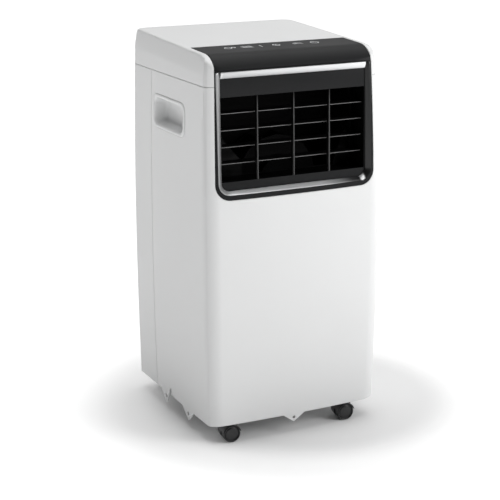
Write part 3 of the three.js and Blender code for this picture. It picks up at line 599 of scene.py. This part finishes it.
# The lighter front edges of the blades and ribs are painted highlights.
BLADE = with_painted_edge_highlight("blade_plastic_painted_edge_highlight", BLADE_Y - BLADE_CHORD / 2 + 0.9, 0.22)
RIB = with_painted_edge_highlight("rib_plastic_painted_edge_highlight", PLATE_Y + 4.5, 0.075)

CAD_LOOKS = {
    "louvre_link": DUCT, "louvre_motor": PALE,
    "control_board": CIRCUIT, "main_board": CIRCUIT,
    "upper_filter": NETTING, "lower_filter": NETTING,
    "upper_drain_spout": NATURAL, "lower_drain_spout": NATURAL,
    "evaporator_coil": ALUMINIUM, "condenser_coil": ALUMINIUM,
    "drip_deck": NATURAL, "upper_fan_casing": DUCT, "lower_fan_casing": NATURAL,
    "upper_fan_wheel": DUCT, "lower_fan_wheel": BLACK,
    "upper_fan_motor": DUCT, "lower_fan_motor": STEEL, "electrical_box": STEEL,
    "compressor": ENAMEL, "accumulator": ENAMEL, "run_capacitor": ALUMINIUM,
    "compressor_foot_1": RUBBER, "compressor_foot_2": RUBBER, "compressor_foot_3": RUBBER,
    "suction_pipe": COPPER, "discharge_pipe": COPPER,
}
for node_name, look in CAD_LOOKS.items():
    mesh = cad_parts[node_name].data
    mesh.materials.clear()
    mesh.materials.append(look)


# ---- Cabinet shells --------------------------------------------------------------------------
FAR = 400                        # well outside the cabinet
LOWEST = 12                      # below the lugs' tips
outer = cabinet(0, LOWEST)
sunken = cabinet(SEAM_STEP, LOWEST)
inner = cabinet(WALL, LOWEST - 4, 0.6)


def region(y0, y1, z0, z1):
    return box(-FAR, FAR, y0, y1, z0, z1)


def fascia_window(gap):
    """The tall opening in the shells, with round lower corners, that the dark front fills."""
    half, low, radius = FASCIA_HALF - gap, FASCIA_LOW + gap, FASCIA_R - gap
    foot = half * barrel_at(FASCIA_LOW + FASCIA_R)
    side = arc(foot - radius, low + radius, radius, -90, 0, 14)
    heights = np.linspace(low + radius, HEIGHT + 20, 32)[1:]
    side += [(half * barrel_at(z), z) for z in heights]
    outline = side + [(-x, z) for x, z in reversed(side)]
    return prism(outline, "y", -FAR, FASCIA_REAR - gap)


def shell(y0=None, y1=None, z0=None, z1=None, window=True, extra=()):
    """A stretch of the cabinet's wall, stepped down a little along each of its seams.

    A limit that isn't given is the cabinet's own."""
    parts = list(extra)
    for form, margin in ((outer, SEAM_STEP), (sunken, 0)):
        edge = SEAM_GAP / 2 + margin
        part = common(duplicate(form), region(
            -FAR if y0 is None else y0 + edge, FAR if y1 is None else y1 - edge,
            FLOOR if z0 is None else z0 + edge, 2 * FAR if z1 is None else z1 - edge,
        ))
        if window:
            cut(part, fascia_window(-margin))
        parts.append(part)
    return cut(join(*parts), inner, keep=True)


def lug_outline(tip, behind, ahead, tip_z):
    """A pointed lug that hangs from the cabinet's edge, in the plane of its own side."""
    point = arc(tip, tip_z + LUG_R, LUG_R, 216, 324, 10)
    return [(tip - ahead, FLOOR + 1), (tip - ahead, FLOOR - 1), *point,
            (tip + behind, FLOOR - 1), (tip + behind, FLOOR + 1)]


def lugs():
    """Strap lugs below both flanks and the front, each with its hole."""
    plates = []
    for lug in SIDE_LUGS:
        plate = common(duplicate(outer), prism(lug_outline(*lug), "x", -FAR, FAR))
        plates.append(cut(plate, prism(circle(lug[0], LUG_HOLE_Z, 4, 32), "x", -FAR, FAR)))
    front = common(duplicate(outer), prism(lug_outline(*FRONT_LUG), "y", -FAR, 0))
    plates.append(cut(front, prism(circle(FRONT_LUG[0], LUG_HOLE_Z + 1, 3, 32), "y", -FAR, 0)))
    return plates


def grip_outline(size, part, extra):
    """An outline that goes from the grip's rim (part 0) to its pocket (part 1)."""
    length, height, radius = (a + (b - a) * part for a, b in zip(GRIP_SIZE, size))
    u, v = length / 2 - extra, height / 2 - extra
    return rounded(GRIP_Y - u, GRIP_Y + u, GRIP_Z - v, GRIP_Z + v, max(radius - extra, 1), steps=12)


def grip_cup(side):
    """A moulded pocket with a soft, slightly proud rim. Each loop is (part, extra, depth)."""
    section = [
        (1, 14, 22.8), (1, 7.5, 22.7), (1, 5, 21.9), (1, 3.2, 20.2), (1, 2.2, 17.6), (1, 1.5, 13),
        (1, 0.7, 7), (1, 0, 2.4), (0.96, 0, 0.9), (0.86, 0, -0.3), (0.7, 0, -1.0), (0.5, 0, -1.3),
        (0.28, 0, -1.25), (0.1, 0, -0.8), (0.02, 0, -0.2), (0.02, 0, 0.5), (0.85, 0, 0.6),
        (1, -2, 0.8), (1, -2, 25),
    ]
    loops = []
    for part, extra, depth in section:
        y, z = np.array(grip_outline(POCKET_SIZE, part, extra)).T
        loops.append(np.column_stack([side * (HALF * barrel_at(z) - depth), y, z]))
    return stacked(loops)


def build_front_and_lid():
    holes = []
    for side in (-1, 1):
        outline = grip_outline(POCKET_SIZE, 1, -2.3)
        holes.append(prism(outline, "x", side * (HALF - 45), side * FAR))
        rebate = grip_outline(POCKET_SIZE, 0, -0.5)
        at = side * (HALF * barrel_at(GRIP_Z) - 1.4)
        holes.append(prism(rebate, "x", at, side * FAR))
    notch = rounded(NOTCH_Y - NOTCH_HALF, NOTCH_Y + NOTCH_HALF, LOWEST, NOTCH_HIGH,
                    1, NOTCH_HALF - 1)
    front = shell(y1=SPLIT_Y, z1=SEAM_Z, extra=lugs())
    cut(front, *holes, prism(notch, "x", -FAR, FAR))
    finish_piece(front, "front_cabinet", "chassis", "shell_white", SHELL, "front_shell")
    lid = shell(z0=SEAM_Z)
    finish_piece(lid, "lid", "chassis", "shell_white", SHELL, "top_cover")
    for side, word in ((-1, "left"), (1, "right")):
        finish_piece(grip_cup(side), f"grip_pocket_{word}", "chassis", "shell_white", SHELL,
                     f"grip_{word}", sharp=50)


def build_rear():
    rear = shell(y0=SPLIT_Y, z1=SEAM_Z, window=False)
    windows = [rounded(-half, half, low, high, 8) for half, low, high in INTAKES.values()]
    ports = [circle(0, COLLAR_Z, COLLAR_OUTER + 0.5, 96), circle(*CORD_INLET, 9.2, 32)]
    ports += [circle(*spot, 8.2, 32) for spot in DRAINS.values()]
    ports += [circle(*spot, 2.7, 20) for spot in SCREWS]
    cut(rear, prisms(windows, "y", BACK - 30, BACK + 30))
    for port in ports:
        cut(rear, prism(port, "y", BACK - 30, BACK + 30))
    finish_piece(rear, "rear_cabinet", "chassis", "shell_white", SHELL, "rear_shell")


def build_base():
    tray = common(cabinet(WALL + 0.8, FLOOR - 2, 0.6), region(-FAR, FAR, 0, FLOOR + 22))
    hollow = cabinet(WALL + 3.4, FLOOR + 1, 0.6)
    cut(tray, hollow)
    spots = CASTERS.values()
    join(tray, *[prism(circle(*at, SOCKET_R, 40), "z", FLOOR - 1, FLOOR + 18) for at in spots])
    cut(tray, *[prism(circle(*at, STEM_R + 0.6, 32), "z", FLOOR - 10, FLOOR + 15) for at in spots])
    for (x, z), radius in ((DRAINS["lower"], 8), (CORD_INLET, 9)):
        cut(tray, prism(circle(x, z, radius, 32), "y", 120, BACK + 10))
    finish_piece(tray, "base_tray", "chassis", "shell_white", SHELL, "base_pan")


# ---- Dark front --------------------------------------------------------------------------------
def plate_y(z):
    return PLATE_Y + PLATE_LEAN * (z - OPEN_LOW)


def surface_y(x, z):
    """Where the cabinet's front lies, found along -Y."""
    x, z = np.broadcast_arrays(np.asarray(x, float), np.asarray(z, float))
    near, far = np.full(x.shape, -100.0), np.full(x.shape, -200.0)
    for _ in range(28):
        y = (near + far) / 2
        outside = cabinet_distance(np.stack([x, y, z], axis=-1)) > 0
        far = np.where(outside, y, far)
        near = np.where(outside, near, y)
    return near


def build_fascia():
    parts = []
    for form, margin in ((outer, SEAM_STEP), (sunken, 0)):
        edge = SEAM_GAP / 2 + margin
        part = common(duplicate(form), fascia_window(edge))
        common(part, region(-FAR, FAR, FASCIA_SEAM + edge, 2 * FAR))
        parts.append(part)
    panel = cut(join(*parts), inner, keep=True)
    finish_piece(panel, "touch_fascia", "chassis", "fascia_graphite", FASCIA, "control_fascia")


def ring_outlines(centre, radius, stroke):
    """A ring as two half rings, so that each outline is a simple one."""
    halves = []
    for start in (0, 180):
        halves.append(arc(*centre, radius, start, start + 180, 20)
                      + arc(*centre, radius - stroke, start + 180, start, 20))
    return halves


def bar_outline(u0, u1, v0, v1):
    return [(u0, v0), (u1, v0), (u1, v1), (u0, v1)]


def build_touch_marks():
    """Plain printed signs for the touch keys: rings, bars and arrowheads, without any lettering."""
    y, stroke = -87, 1.5
    marks = ring_outlines((-92, y), 7, stroke) + ring_outlines((-81, y + 2), 4, stroke)
    marks += [bar_outline(-66, -46, y + step, y + step + stroke) for step in (-6, -1, 4)]
    marks += [bar_outline(-30, -30 + stroke, y - 7, y + 7)]
    marks += ring_outlines((1, y), 7, stroke) + [bar_outline(0.4, 0.4 + stroke, y, y + 5)]
    for foot in (-5, 1):
        marks.append([(34, y + foot), (43, y + foot + 5), (52, y + foot),
                      (52, y + foot + stroke), (43, y + foot + 5 + stroke), (34, y + foot + stroke)])
    marks += ring_outlines((77, y), 8, stroke) + [bar_outline(76.4, 77.6, y + 3, y + 8.5)]
    printed = prisms(marks, "z", 0, 0.12)
    for vertex in printed.data.vertices:
        vertex.co.z += (lid_height(vertex.co.y / MM) + 0.02) * MM
    finish_piece(printed, "touch_marks", "chassis", "pale_grey", PRINT)


def trim_outline(grow):
    """The recess for the bezel: large lower corners and small upper ones."""
    half, low, high = TRIM_HALF + grow, TRIM_LOW - grow, TRIM_HIGH + grow
    return rounded(-half, half, low, high, TRIM_R + grow, TRIM_TOP_R + grow, 12)


def ahead_of_plate(offset):
    low, high = FASCIA_LOW - 20, FASCIA_SEAM + 20
    outline = [(-FAR, low), (plate_y(low) + offset, low), (plate_y(high) + offset, high),
               (-FAR, high)]
    return prism(outline, "x", -FAR, FAR)


def build_surround():
    """The dark margin round the outlet and the leaning plate behind it."""
    block = common(duplicate(outer), fascia_window(SEAM_GAP / 2), ahead_of_plate(PLATE_THICK))
    common(block, region(-FAR, 0, 0, FASCIA_SEAM - SEAM_GAP / 2))
    cut(block, prism(trim_outline(0), "y", -FAR, 0))
    finish_piece(block, "outlet_surround", "chassis", "fascia_graphite", FASCIA, "outlet_frame")
    rim = np.array(trim_outline(-0.4))
    loops = [
        np.column_stack([rim[:, 0], plate_y(rim[:, 1]) + deep, rim[:, 1]])
        for deep in (0, PLATE_THICK)
    ]
    plate = stacked(loops)
    cut(plate, prism(rounded(-OPEN_HALF, OPEN_HALF, OPEN_LOW, OPEN_HIGH, 2), "y", -FAR, 0))
    softened(plate, 0.5)
    finish_piece(plate, "outlet_plate", "chassis", "fascia_graphite", FASCIA, "outlet_frame")


def bezel_section(rim, lip):
    """A strip's section between its outer and inner edge, with a softly rounded face."""
    front = surface_y(*rim) - 0.2
    back = plate_y(lip[1]) - 1.4
    face = []
    for t in np.linspace(0, 1, 7):
        x, z = np.add(rim, np.multiply(np.subtract(lip, rim), t))
        face.append((x, front + (back - front) * t - 1.1 * math.sin(math.pi * t), z))
    return [*face, (*np.insert(lip, 1, plate_y(lip[1]) - 0.3),),
            (*np.insert(rim, 1, plate_y(rim[1]) - 0.3),)]


def u_path(half, low, radius, top, parts=40):
    """Points down the left side, round the lower corners and up the right side."""
    side = [(-half, z) for z in np.linspace(top, low + radius, parts)[:-1]]
    corner = arc(-half + radius, low + radius, radius, 180, 270, 16)
    base = [(x, low) for x in np.linspace(radius - half, 0, parts)[1:]]
    left = side + corner + base
    return left + [(-x, z) for x, z in reversed(left[:-1])]


def build_bezel():
    top, foot = TRIM_HIGH - 0.25, TRIM_HIGH - TRIM_ABOVE
    reach = TRIM_HALF - TRIM_SIDE - 0.8
    across = np.linspace(-reach, reach, 81)
    bar = stacked([bezel_section((x, top), (x, foot)) for x in across])
    softened(bar, 0.6, 2, 50)
    finish_piece(bar, "bezel_top", "chassis", "trim_silver", BEZEL_TOP_PAINTED_LIGHT, "outlet_trim", sharp=50)
    rim = u_path(TRIM_HALF - 0.25, TRIM_LOW + 0.25, TRIM_R, top)
    lip = u_path(TRIM_HALF - TRIM_SIDE, TRIM_LOW + TRIM_BELOW, LIP_R, top)
    strip = stacked([bezel_section(*pair) for pair in zip(rim, lip)])
    softened(strip, 0.5, 2, 50)
    finish_piece(strip, "bezel_sides", "chassis", "trim_silver", BEZEL_SIDES_PAINTED_LIGHT, "outlet_trim",
                 sharp=50)


def build_grid():
    """The air duct behind the plate, its three upright ribs, and its baffles.

    The baffles close the corners at the back of the duct that the fan's slanting casing leaves."""
    half, low, high, wall = OPEN_HALF + 1, OPEN_LOW - 3, OPEN_HIGH + 3, DUCT_WALL
    front = plate_y(OPEN_HIGH) + PLATE_THICK + 0.3
    outside = rounded(-half - wall, half + wall, low - wall, high + wall, 3)
    duct = prism(outside, "y", front, DUCT_BACK)
    cut(duct, prism(rounded(-half, half, low, high, 1), "y", front - 5, -100))
    for x in (-RIB_PITCH, 0, RIB_PITCH):
        nose = box(x - 0.9, x + 0.9, front - 8, front + 3.4, OPEN_LOW + 0.3, OPEN_HIGH - 0.3)
        cut(nose, ahead_of_plate(0.4))
        join(duct, nose, box(x - 1.4, x + 1.4, front + 0.6, front + 3.4, low - 1, high + 1))
    for z in BLADE_ROWS:
        cut(duct, prism(circle(BLADE_Y, z, 2.5, 20), "x", -160, 160))
    baffles = [[(104, 471), (144, 471), (144, 574)],
               [(-144, 471), (-76, 471), (-76, 497), (-144, 574)]]
    join(duct, prisms(baffles, "y", DUCT_BACK - 1.5, DUCT_BACK + 0.2))
    finish_piece(duct, "outlet_duct", "chassis", "black_plastic", RIB, "outlet_grid")


# ---- Louvres -----------------------------------------------------------------------------------
def build_blades():
    """Four lens-shaped blades with their pivots, each with a crank for the link."""
    rise = np.linspace(-1, 1, 13)
    half = BLADE_CHORD / 2
    for row, z in enumerate(BLADE_ROWS, 1):
        top = [(BLADE_Y + u * (half - 0.5), z + 0.55 + 0.75 * (1 - u * u)) for u in rise[::-1]]
        nose = arc(BLADE_Y - half + 0.5, z, 0.5, 90, 270, 6)
        under = [(y, 2 * z - height) for y, height in reversed(top)]
        tail = arc(BLADE_Y + half - 0.5, z, 0.5, -90, 90, 6)
        blade = prism(top + nose + under + tail, "x", -BLADE_HALF, BLADE_HALF)
        cut(blade, box(130.8, 136.2, BLADE_Y + 5, BLADE_Y + 26, z - 4, z + 4))
        crank_end = BLADE_Y + CRANK
        pins = [
            prism(circle(BLADE_Y, z, PIVOT_R, 20), "x", -BLADE_HALF - 3.6, BLADE_HALF + 3.6),
            box(128.5, 130.5, BLADE_Y + 8, crank_end + 2.4, z - 2.2, z + 2.2),
            prism(circle(crank_end, z, CRANK_PIN_R, 20), "x", 129.5, 135.4),
        ]
        finish_piece(join(blade, *pins), f"blade_{row}", f"louvre_{row}", "black_plastic",
                     BLADE, f"louvre_blade_{row}")


# ---- Back of the cabinet -----------------------------------------------------------------------
def layered(outline, *levels):
    """A plate across Y from (shrink, y) levels of an outline function."""
    return stacked([along("y", outline(shrink), y) for shrink, y in levels])


def build_grille(word):
    """A flanged panel with two columns of slots, hollow behind."""
    half, low, high = INTAKES[word]
    overlap, pitch, slot_high = 5, 17, 9.35

    def flange(shrink):
        grow = overlap - shrink
        return rounded(-half - grow, half + grow, low - grow, high + grow, 10 - shrink)

    plate = layered(flange, (0, BACK + 0.3), (0, BACK + 1.6), (0.3, BACK + 2.1), (0.9, BACK + 2.4))
    plug = prism(rounded(0.3 - half, half - 0.3, low + 0.3, high - 0.3, 8), "y", BACK - 7, BACK + 1)
    join(plate, plug)
    cut(plate, box(5 - half, half - 5, BACK - 8, BACK - 1.4, low + 5, high - 5))
    width = half - 6
    rows = np.arange(low + 9, high - 9, pitch)
    slots = [
        rounded(left, left + width - 4, z, z + slot_high, 2.5, steps=4)
        for z in rows for left in (8 - half, 8 - half + width)
    ]
    cut(plate, prisms(slots, "y", BACK - 9, BACK + 9))
    softened(plate, 0.4, 2)
    finish_piece(plate, f"{word}_grille", f"{word}_intake", "shell_white", SHELL,
                 f"{word}_intake_grille")


def build_collar():
    bore, wall, rear = COLLAR_BORE, COLLAR_OUTER, node_box("exhaust_collar")[1][1]
    profile = [
        (bore, 120), (wall, 120), (wall, BACK + 0.3), (wall + 6.6, BACK + 0.3),
        (wall + 7, BACK + 0.7), (wall + 7, BACK + 1.7), (wall + 6.4, BACK + 2.2),
        (wall + 0.6, BACK + 2.3), (wall, BACK + 2.9), (wall, rear - 0.7), (wall - 0.5, rear),
        (bore + 0.5, rear), (bore, rear - 0.7),
    ]
    ring = lathe(profile, (0, 0, COLLAR_Z), "y", 128)
    for turn in np.radians((30, 150, 270)):
        x = math.cos(turn) * (bore - 1.5)
        z = COLLAR_Z + math.sin(turn) * (bore - 1.5)
        join(ring, softened(box(x - 3.5, x + 3.5, BACK + 1, rear - 0.5, z - 3.5, z + 3.5), 0.6))
    finish_piece(ring, "hose_collar", "chassis", "shell_white", SHELL, "exhaust_collar", sharp=40)


def build_drain_plug(word):
    x, z = DRAINS[word]
    cap = lathe([(0, 0.3), (9.5, 0.3), (10.3, 1), (10.5, 2.6), (9.8, 3.5), (4, 3.2), (0, 3.1)],
                (x, BACK, z), steps=48)
    join(cap, prism(circle(x, z, 5.6, 32), "y", BACK - 12, BACK + 1),
         softened(box(x - 4, x + 4, BACK + 1, BACK + 3.5, z - 14, z - 9), 0.6))
    finish_piece(cap, f"{word}_plug_cap", f"{word}_plug", "rubber", RUBBER, f"{word}_drain_plug")


def build_rear_fittings():
    gland = lathe([(3.6, -8), (8.6, -8), (8.6, 0.3), (11.2, 0.3), (11.5, 1), (10.8, 3.4),
                   (10, 4), (5.4, 5), (4.4, 5), (3.6, 4.4)], (CORD_INLET[0], BACK, CORD_INLET[1]))
    finish_piece(gland, "cord_inlet", "chassis", "black_plastic", BLACK, "cord_gland")
    for i, (x, z) in enumerate(SCREWS, 1):
        head = lathe([(0, -12), (2.2, -12), (2.2, 0.3), (4.2, 0.3), (4.5, 0.8), (4.2, 1.8),
                      (3, 2.4), (0, 2.6)], (x, BACK, z), steps=40)
        cut(head, box(x - 2.4, x + 2.4, BACK + 1.2, BACK + 4, z - 0.5, z + 0.5),
            box(x - 0.5, x + 0.5, BACK + 1.2, BACK + 4, z - 2.4, z + 2.4))
        finish_piece(head, f"screw_{i}", "chassis", "steel", STEEL, f"rear_screw_{i}")


# ---- Casters -----------------------------------------------------------------------------------
def wheel_pair():
    """Two wheels with dished faces, on an axle along local X."""
    face = WHEEL_OUT
    half = [(0, face - 0.4), (8.5, face - 0.5), (11.6, face - 1.1), (12.4, face - 1.9),
            (13.2, face - 1.1), (13.8, face - 0.3), (14.8, face - 0.1), (15.7, face - 0.9),
            (16, face - 2.2), (16, 4.4), (15.6, 3), (14.6, 2.3), (0, 2.2)]
    centre = (0, TRAIL, WHEEL_R)
    pair = [lathe([(r, side * x) for r, x in half], centre, "x", 72) for side in (-1, 1)]
    axle = lathe([(0, -3), (AXLE_R, -3), (AXLE_R, 3), (0, 3)], centre, "x", 24)
    return join(*pair, axle)


def fork():
    """A hood over both wheels, the web between them, and the crown with its stem."""
    centre = (0, TRAIL, WHEEL_R)
    arch, reach = WHEEL_R + 0.8, WHEEL_OUT + 1
    hood = lathe([(arch, 0.3 - reach), (arch + 0.4, -reach), (arch + 0.8, 0.3 - reach),
                  (arch + 0.8, reach - 0.3), (arch + 0.4, reach), (arch, reach - 0.3)],
                 centre, "x", 96)
    common(hood, box(-30, 30, -30, 50, WHEEL_R + 4, 60))
    web = lathe([(0, -1.6), (arch + 0.3, -1.6), (arch + 0.3, 1.6), (0, 1.6)], centre, "x", 96)
    common(web, box(-20, 20, -30, 50, WHEEL_R - 5, 60))
    crown = lathe([(0, CASTER_TOP - 8), (CROWN_R, CASTER_TOP - 8), (CROWN_R, CASTER_TOP - 0.5),
                   (CROWN_R - 0.5, CASTER_TOP), (0, CASTER_TOP)], (0, 0, 0), "z", 48)
    cut(crown, lathe([(0, -20), (arch, -20), (arch, 20), (0, 20)], centre, "x", 96))
    stem = prism(circle(0, 0, STEM_R, 32), "z", CASTER_TOP - 1, FLOOR + 14)
    body = join(hood, web, crown, stem)
    return cut(body, prism(circle(TRAIL, WHEEL_R, AXLE_R + 0.5, 24), "x", -5, 5))


def build_casters():
    patterns = {"fork": ("caster", fork()), "wheels": ("wheels", wheel_pair())}
    for word, (x, y) in CASTERS.items():
        turn = Matrix.Rotation(math.radians(CASTER_YAW), 4, "Z")
        for part, (body, pattern) in patterns.items():
            piece = duplicate(pattern)
            piece.data.transform(Matrix.Translation((x * MM, y * MM, 0)) @ turn)
            finish_piece(piece, f"{part}_{word}", f"{body}_{word}", "caster_black", CASTER_BLACK,
                         f"caster_{part}_{word}", sharp=40)
    for _, pattern in patterns.values():
        discard(pattern)


build_front_and_lid()
build_rear()
build_base()
build_fascia()
build_touch_marks()
build_surround()
build_bezel()
build_grid()
build_blades()
for place_word in INTAKES:
    build_grille(place_word)
build_collar()
for place_word in DRAINS:
    build_drain_plug(place_word)
build_rear_fittings()
build_casters()
for spare in (outer, sunken, inner):
    discard(spare)


# ---- Stage, light and camera -------------------------------------------------------------------
SKY = 0.18                       # what lights the object; the camera sees plain white instead
SKY_FALL = 0.42                  # how much dimmer it gets towards the dark side, down to nothing
DARK_SIDE = (-0.707, -0.707, 0)
SEEN = 1.05                      # the plain white behind the object
# The floor's painted glow at each distance from its middle, in metres; the dim ring near the object
# is a painted shadow.
FLOOR_PAINTED_GLOW = [(0.22, 0.0), (0.33, 0.28), (0.48, 0.58), (1.0, 0.75), (2.6, 1.0)]
# The painted glow's middle sits off to the right and front, so the painted shadow is darker there.
PAINTED_GLOW_CENTRE = (0.1, -0.03, 0)
LIGHTS = {                       # place, size in metres, power in watts
    "overhead": ((0.2, 0.1, 2.4), 2.6, 31),
    "key": ((1.3, -1.5, 1.2), 1.2, 20),
    "rear_left": ((-1.5, 1.9, 1.0), 1.0, 1.2),
}
LIT_SPOT = Vector((0, 0, 0.35))
CAMERA_AT = Vector((-1.15955, -2.30063, 1.03262))
CAMERA_AIM = Vector((-0.00972, -0.0065, 0.3023))
LENS = 103.2


def build_floor():
    """A pale floor that glows with painted light, none near the object and more further out, which
    leaves a painted shadow round its base.
    """
    size = 14000
    corners = [(-size, -size), (size, -size), (size, size), (-size, size)]
    floor = solid([(x, y, 0) for x, y in corners], [(0, 1, 2, 3)], "floor")
    material, surface = shader("studio_floor_painted_glow", 0.9, specular=0.1)
    link(material, tinted(material, noise(material, 3, 2), (0.88, 0.88, 0.88), (0.89, 0.89, 0.89)),
         surface.inputs["Base Color"])
    place = add_node(material, "ShaderNodeTexCoord")
    distance = add_node(material, "ShaderNodeVectorMath", operation="DISTANCE")
    distance.inputs[1].default_value = PAINTED_GLOW_CENTRE
    link(material, place.outputs["Object"], distance.inputs[0])
    reach = FLOOR_PAINTED_GLOW[-1][0]
    scaled = add_node(material, "ShaderNodeMath", operation="DIVIDE")
    scaled.inputs[1].default_value = reach
    link(material, distance.outputs["Value"], scaled.inputs[0])
    ramp = add_node(material, "ShaderNodeValToRGB")
    ramp.color_ramp.interpolation = "EASE"
    elements = ramp.color_ramp.elements
    while len(elements) < len(FLOOR_PAINTED_GLOW):
        elements.new(0.5)
    for element, (far, glow) in zip(elements, FLOOR_PAINTED_GLOW):
        element.position = far / reach
        element.color = (glow, glow, glow, 1)
    link(material, scaled.outputs["Value"], ramp.inputs["Fac"])
    # The floor's emission is painted glow; the floor is no lamp, though this glow also lights the
    # object from below.
    surface.inputs["Emission Color"].default_value = (1, 1, 1, 1)
    link(material, ramp.outputs["Color"], surface.inputs["Emission Strength"])
    floor.data.materials.append(material)


def area_light(name, place, size, power):
    data = bpy.data.lights.new(name, "AREA")
    data.shape = "DISK"
    data.size = size
    data.energy = power
    lamp = bpy.data.objects.new(name, data)
    lamp.location = place
    aim = LIT_SPOT - lamp.location
    lamp.rotation_euler = aim.to_track_quat("-Z", "Y").to_euler()
    bpy.context.scene.collection.objects.link(lamp)


def build_world():
    world = bpy.data.worlds.new("studio")
    bpy.context.scene.world = world
    world.use_nodes = True
    nodes, links = world.node_tree.nodes, world.node_tree.links
    glow = nodes["Background"]
    glow.inputs["Color"].default_value = (1, 1, 1, 1)
    place = nodes.new("ShaderNodeTexCoord")
    facing = nodes.new("ShaderNodeVectorMath")
    facing.operation = "DOT_PRODUCT"
    facing.inputs[1].default_value = DARK_SIDE
    dimming = nodes.new("ShaderNodeMapRange")
    dimming.inputs["From Min"].default_value = -1
    dimming.inputs["From Max"].default_value = SKY / SKY_FALL
    dimming.inputs["To Min"].default_value = SKY + SKY_FALL
    dimming.inputs["To Max"].default_value = 0
    links.new(place.outputs["Generated"], facing.inputs[0])
    links.new(facing.outputs["Value"], dimming.inputs["Value"])
    links.new(dimming.outputs["Result"], glow.inputs["Strength"])
    seen = nodes.new("ShaderNodeBackground")
    seen.inputs["Color"].default_value = (1, 1, 1, 1)
    seen.inputs["Strength"].default_value = SEEN
    path = nodes.new("ShaderNodeLightPath")
    mix = nodes.new("ShaderNodeMixShader")
    links.new(path.outputs["Is Camera Ray"], mix.inputs["Fac"])
    links.new(glow.outputs["Background"], mix.inputs[1])
    links.new(seen.outputs["Background"], mix.inputs[2])
    links.new(mix.outputs["Shader"], nodes["World Output"].inputs["Surface"])


def build_camera():
    data = bpy.data.cameras.new("camera")
    data.sensor_width = 36
    data.lens = LENS
    camera = bpy.data.objects.new("camera", data)
    camera.location = CAMERA_AT
    camera.rotation_euler = (CAMERA_AIM - CAMERA_AT).to_track_quat("-Z", "Y").to_euler()
    bpy.context.scene.collection.objects.link(camera)
    bpy.context.scene.camera = camera


build_floor()
build_world()
for light_name, setting in LIGHTS.items():
    area_light(light_name, *setting)
build_camera()
bpy.context.scene.view_settings.view_transform = "Standard"
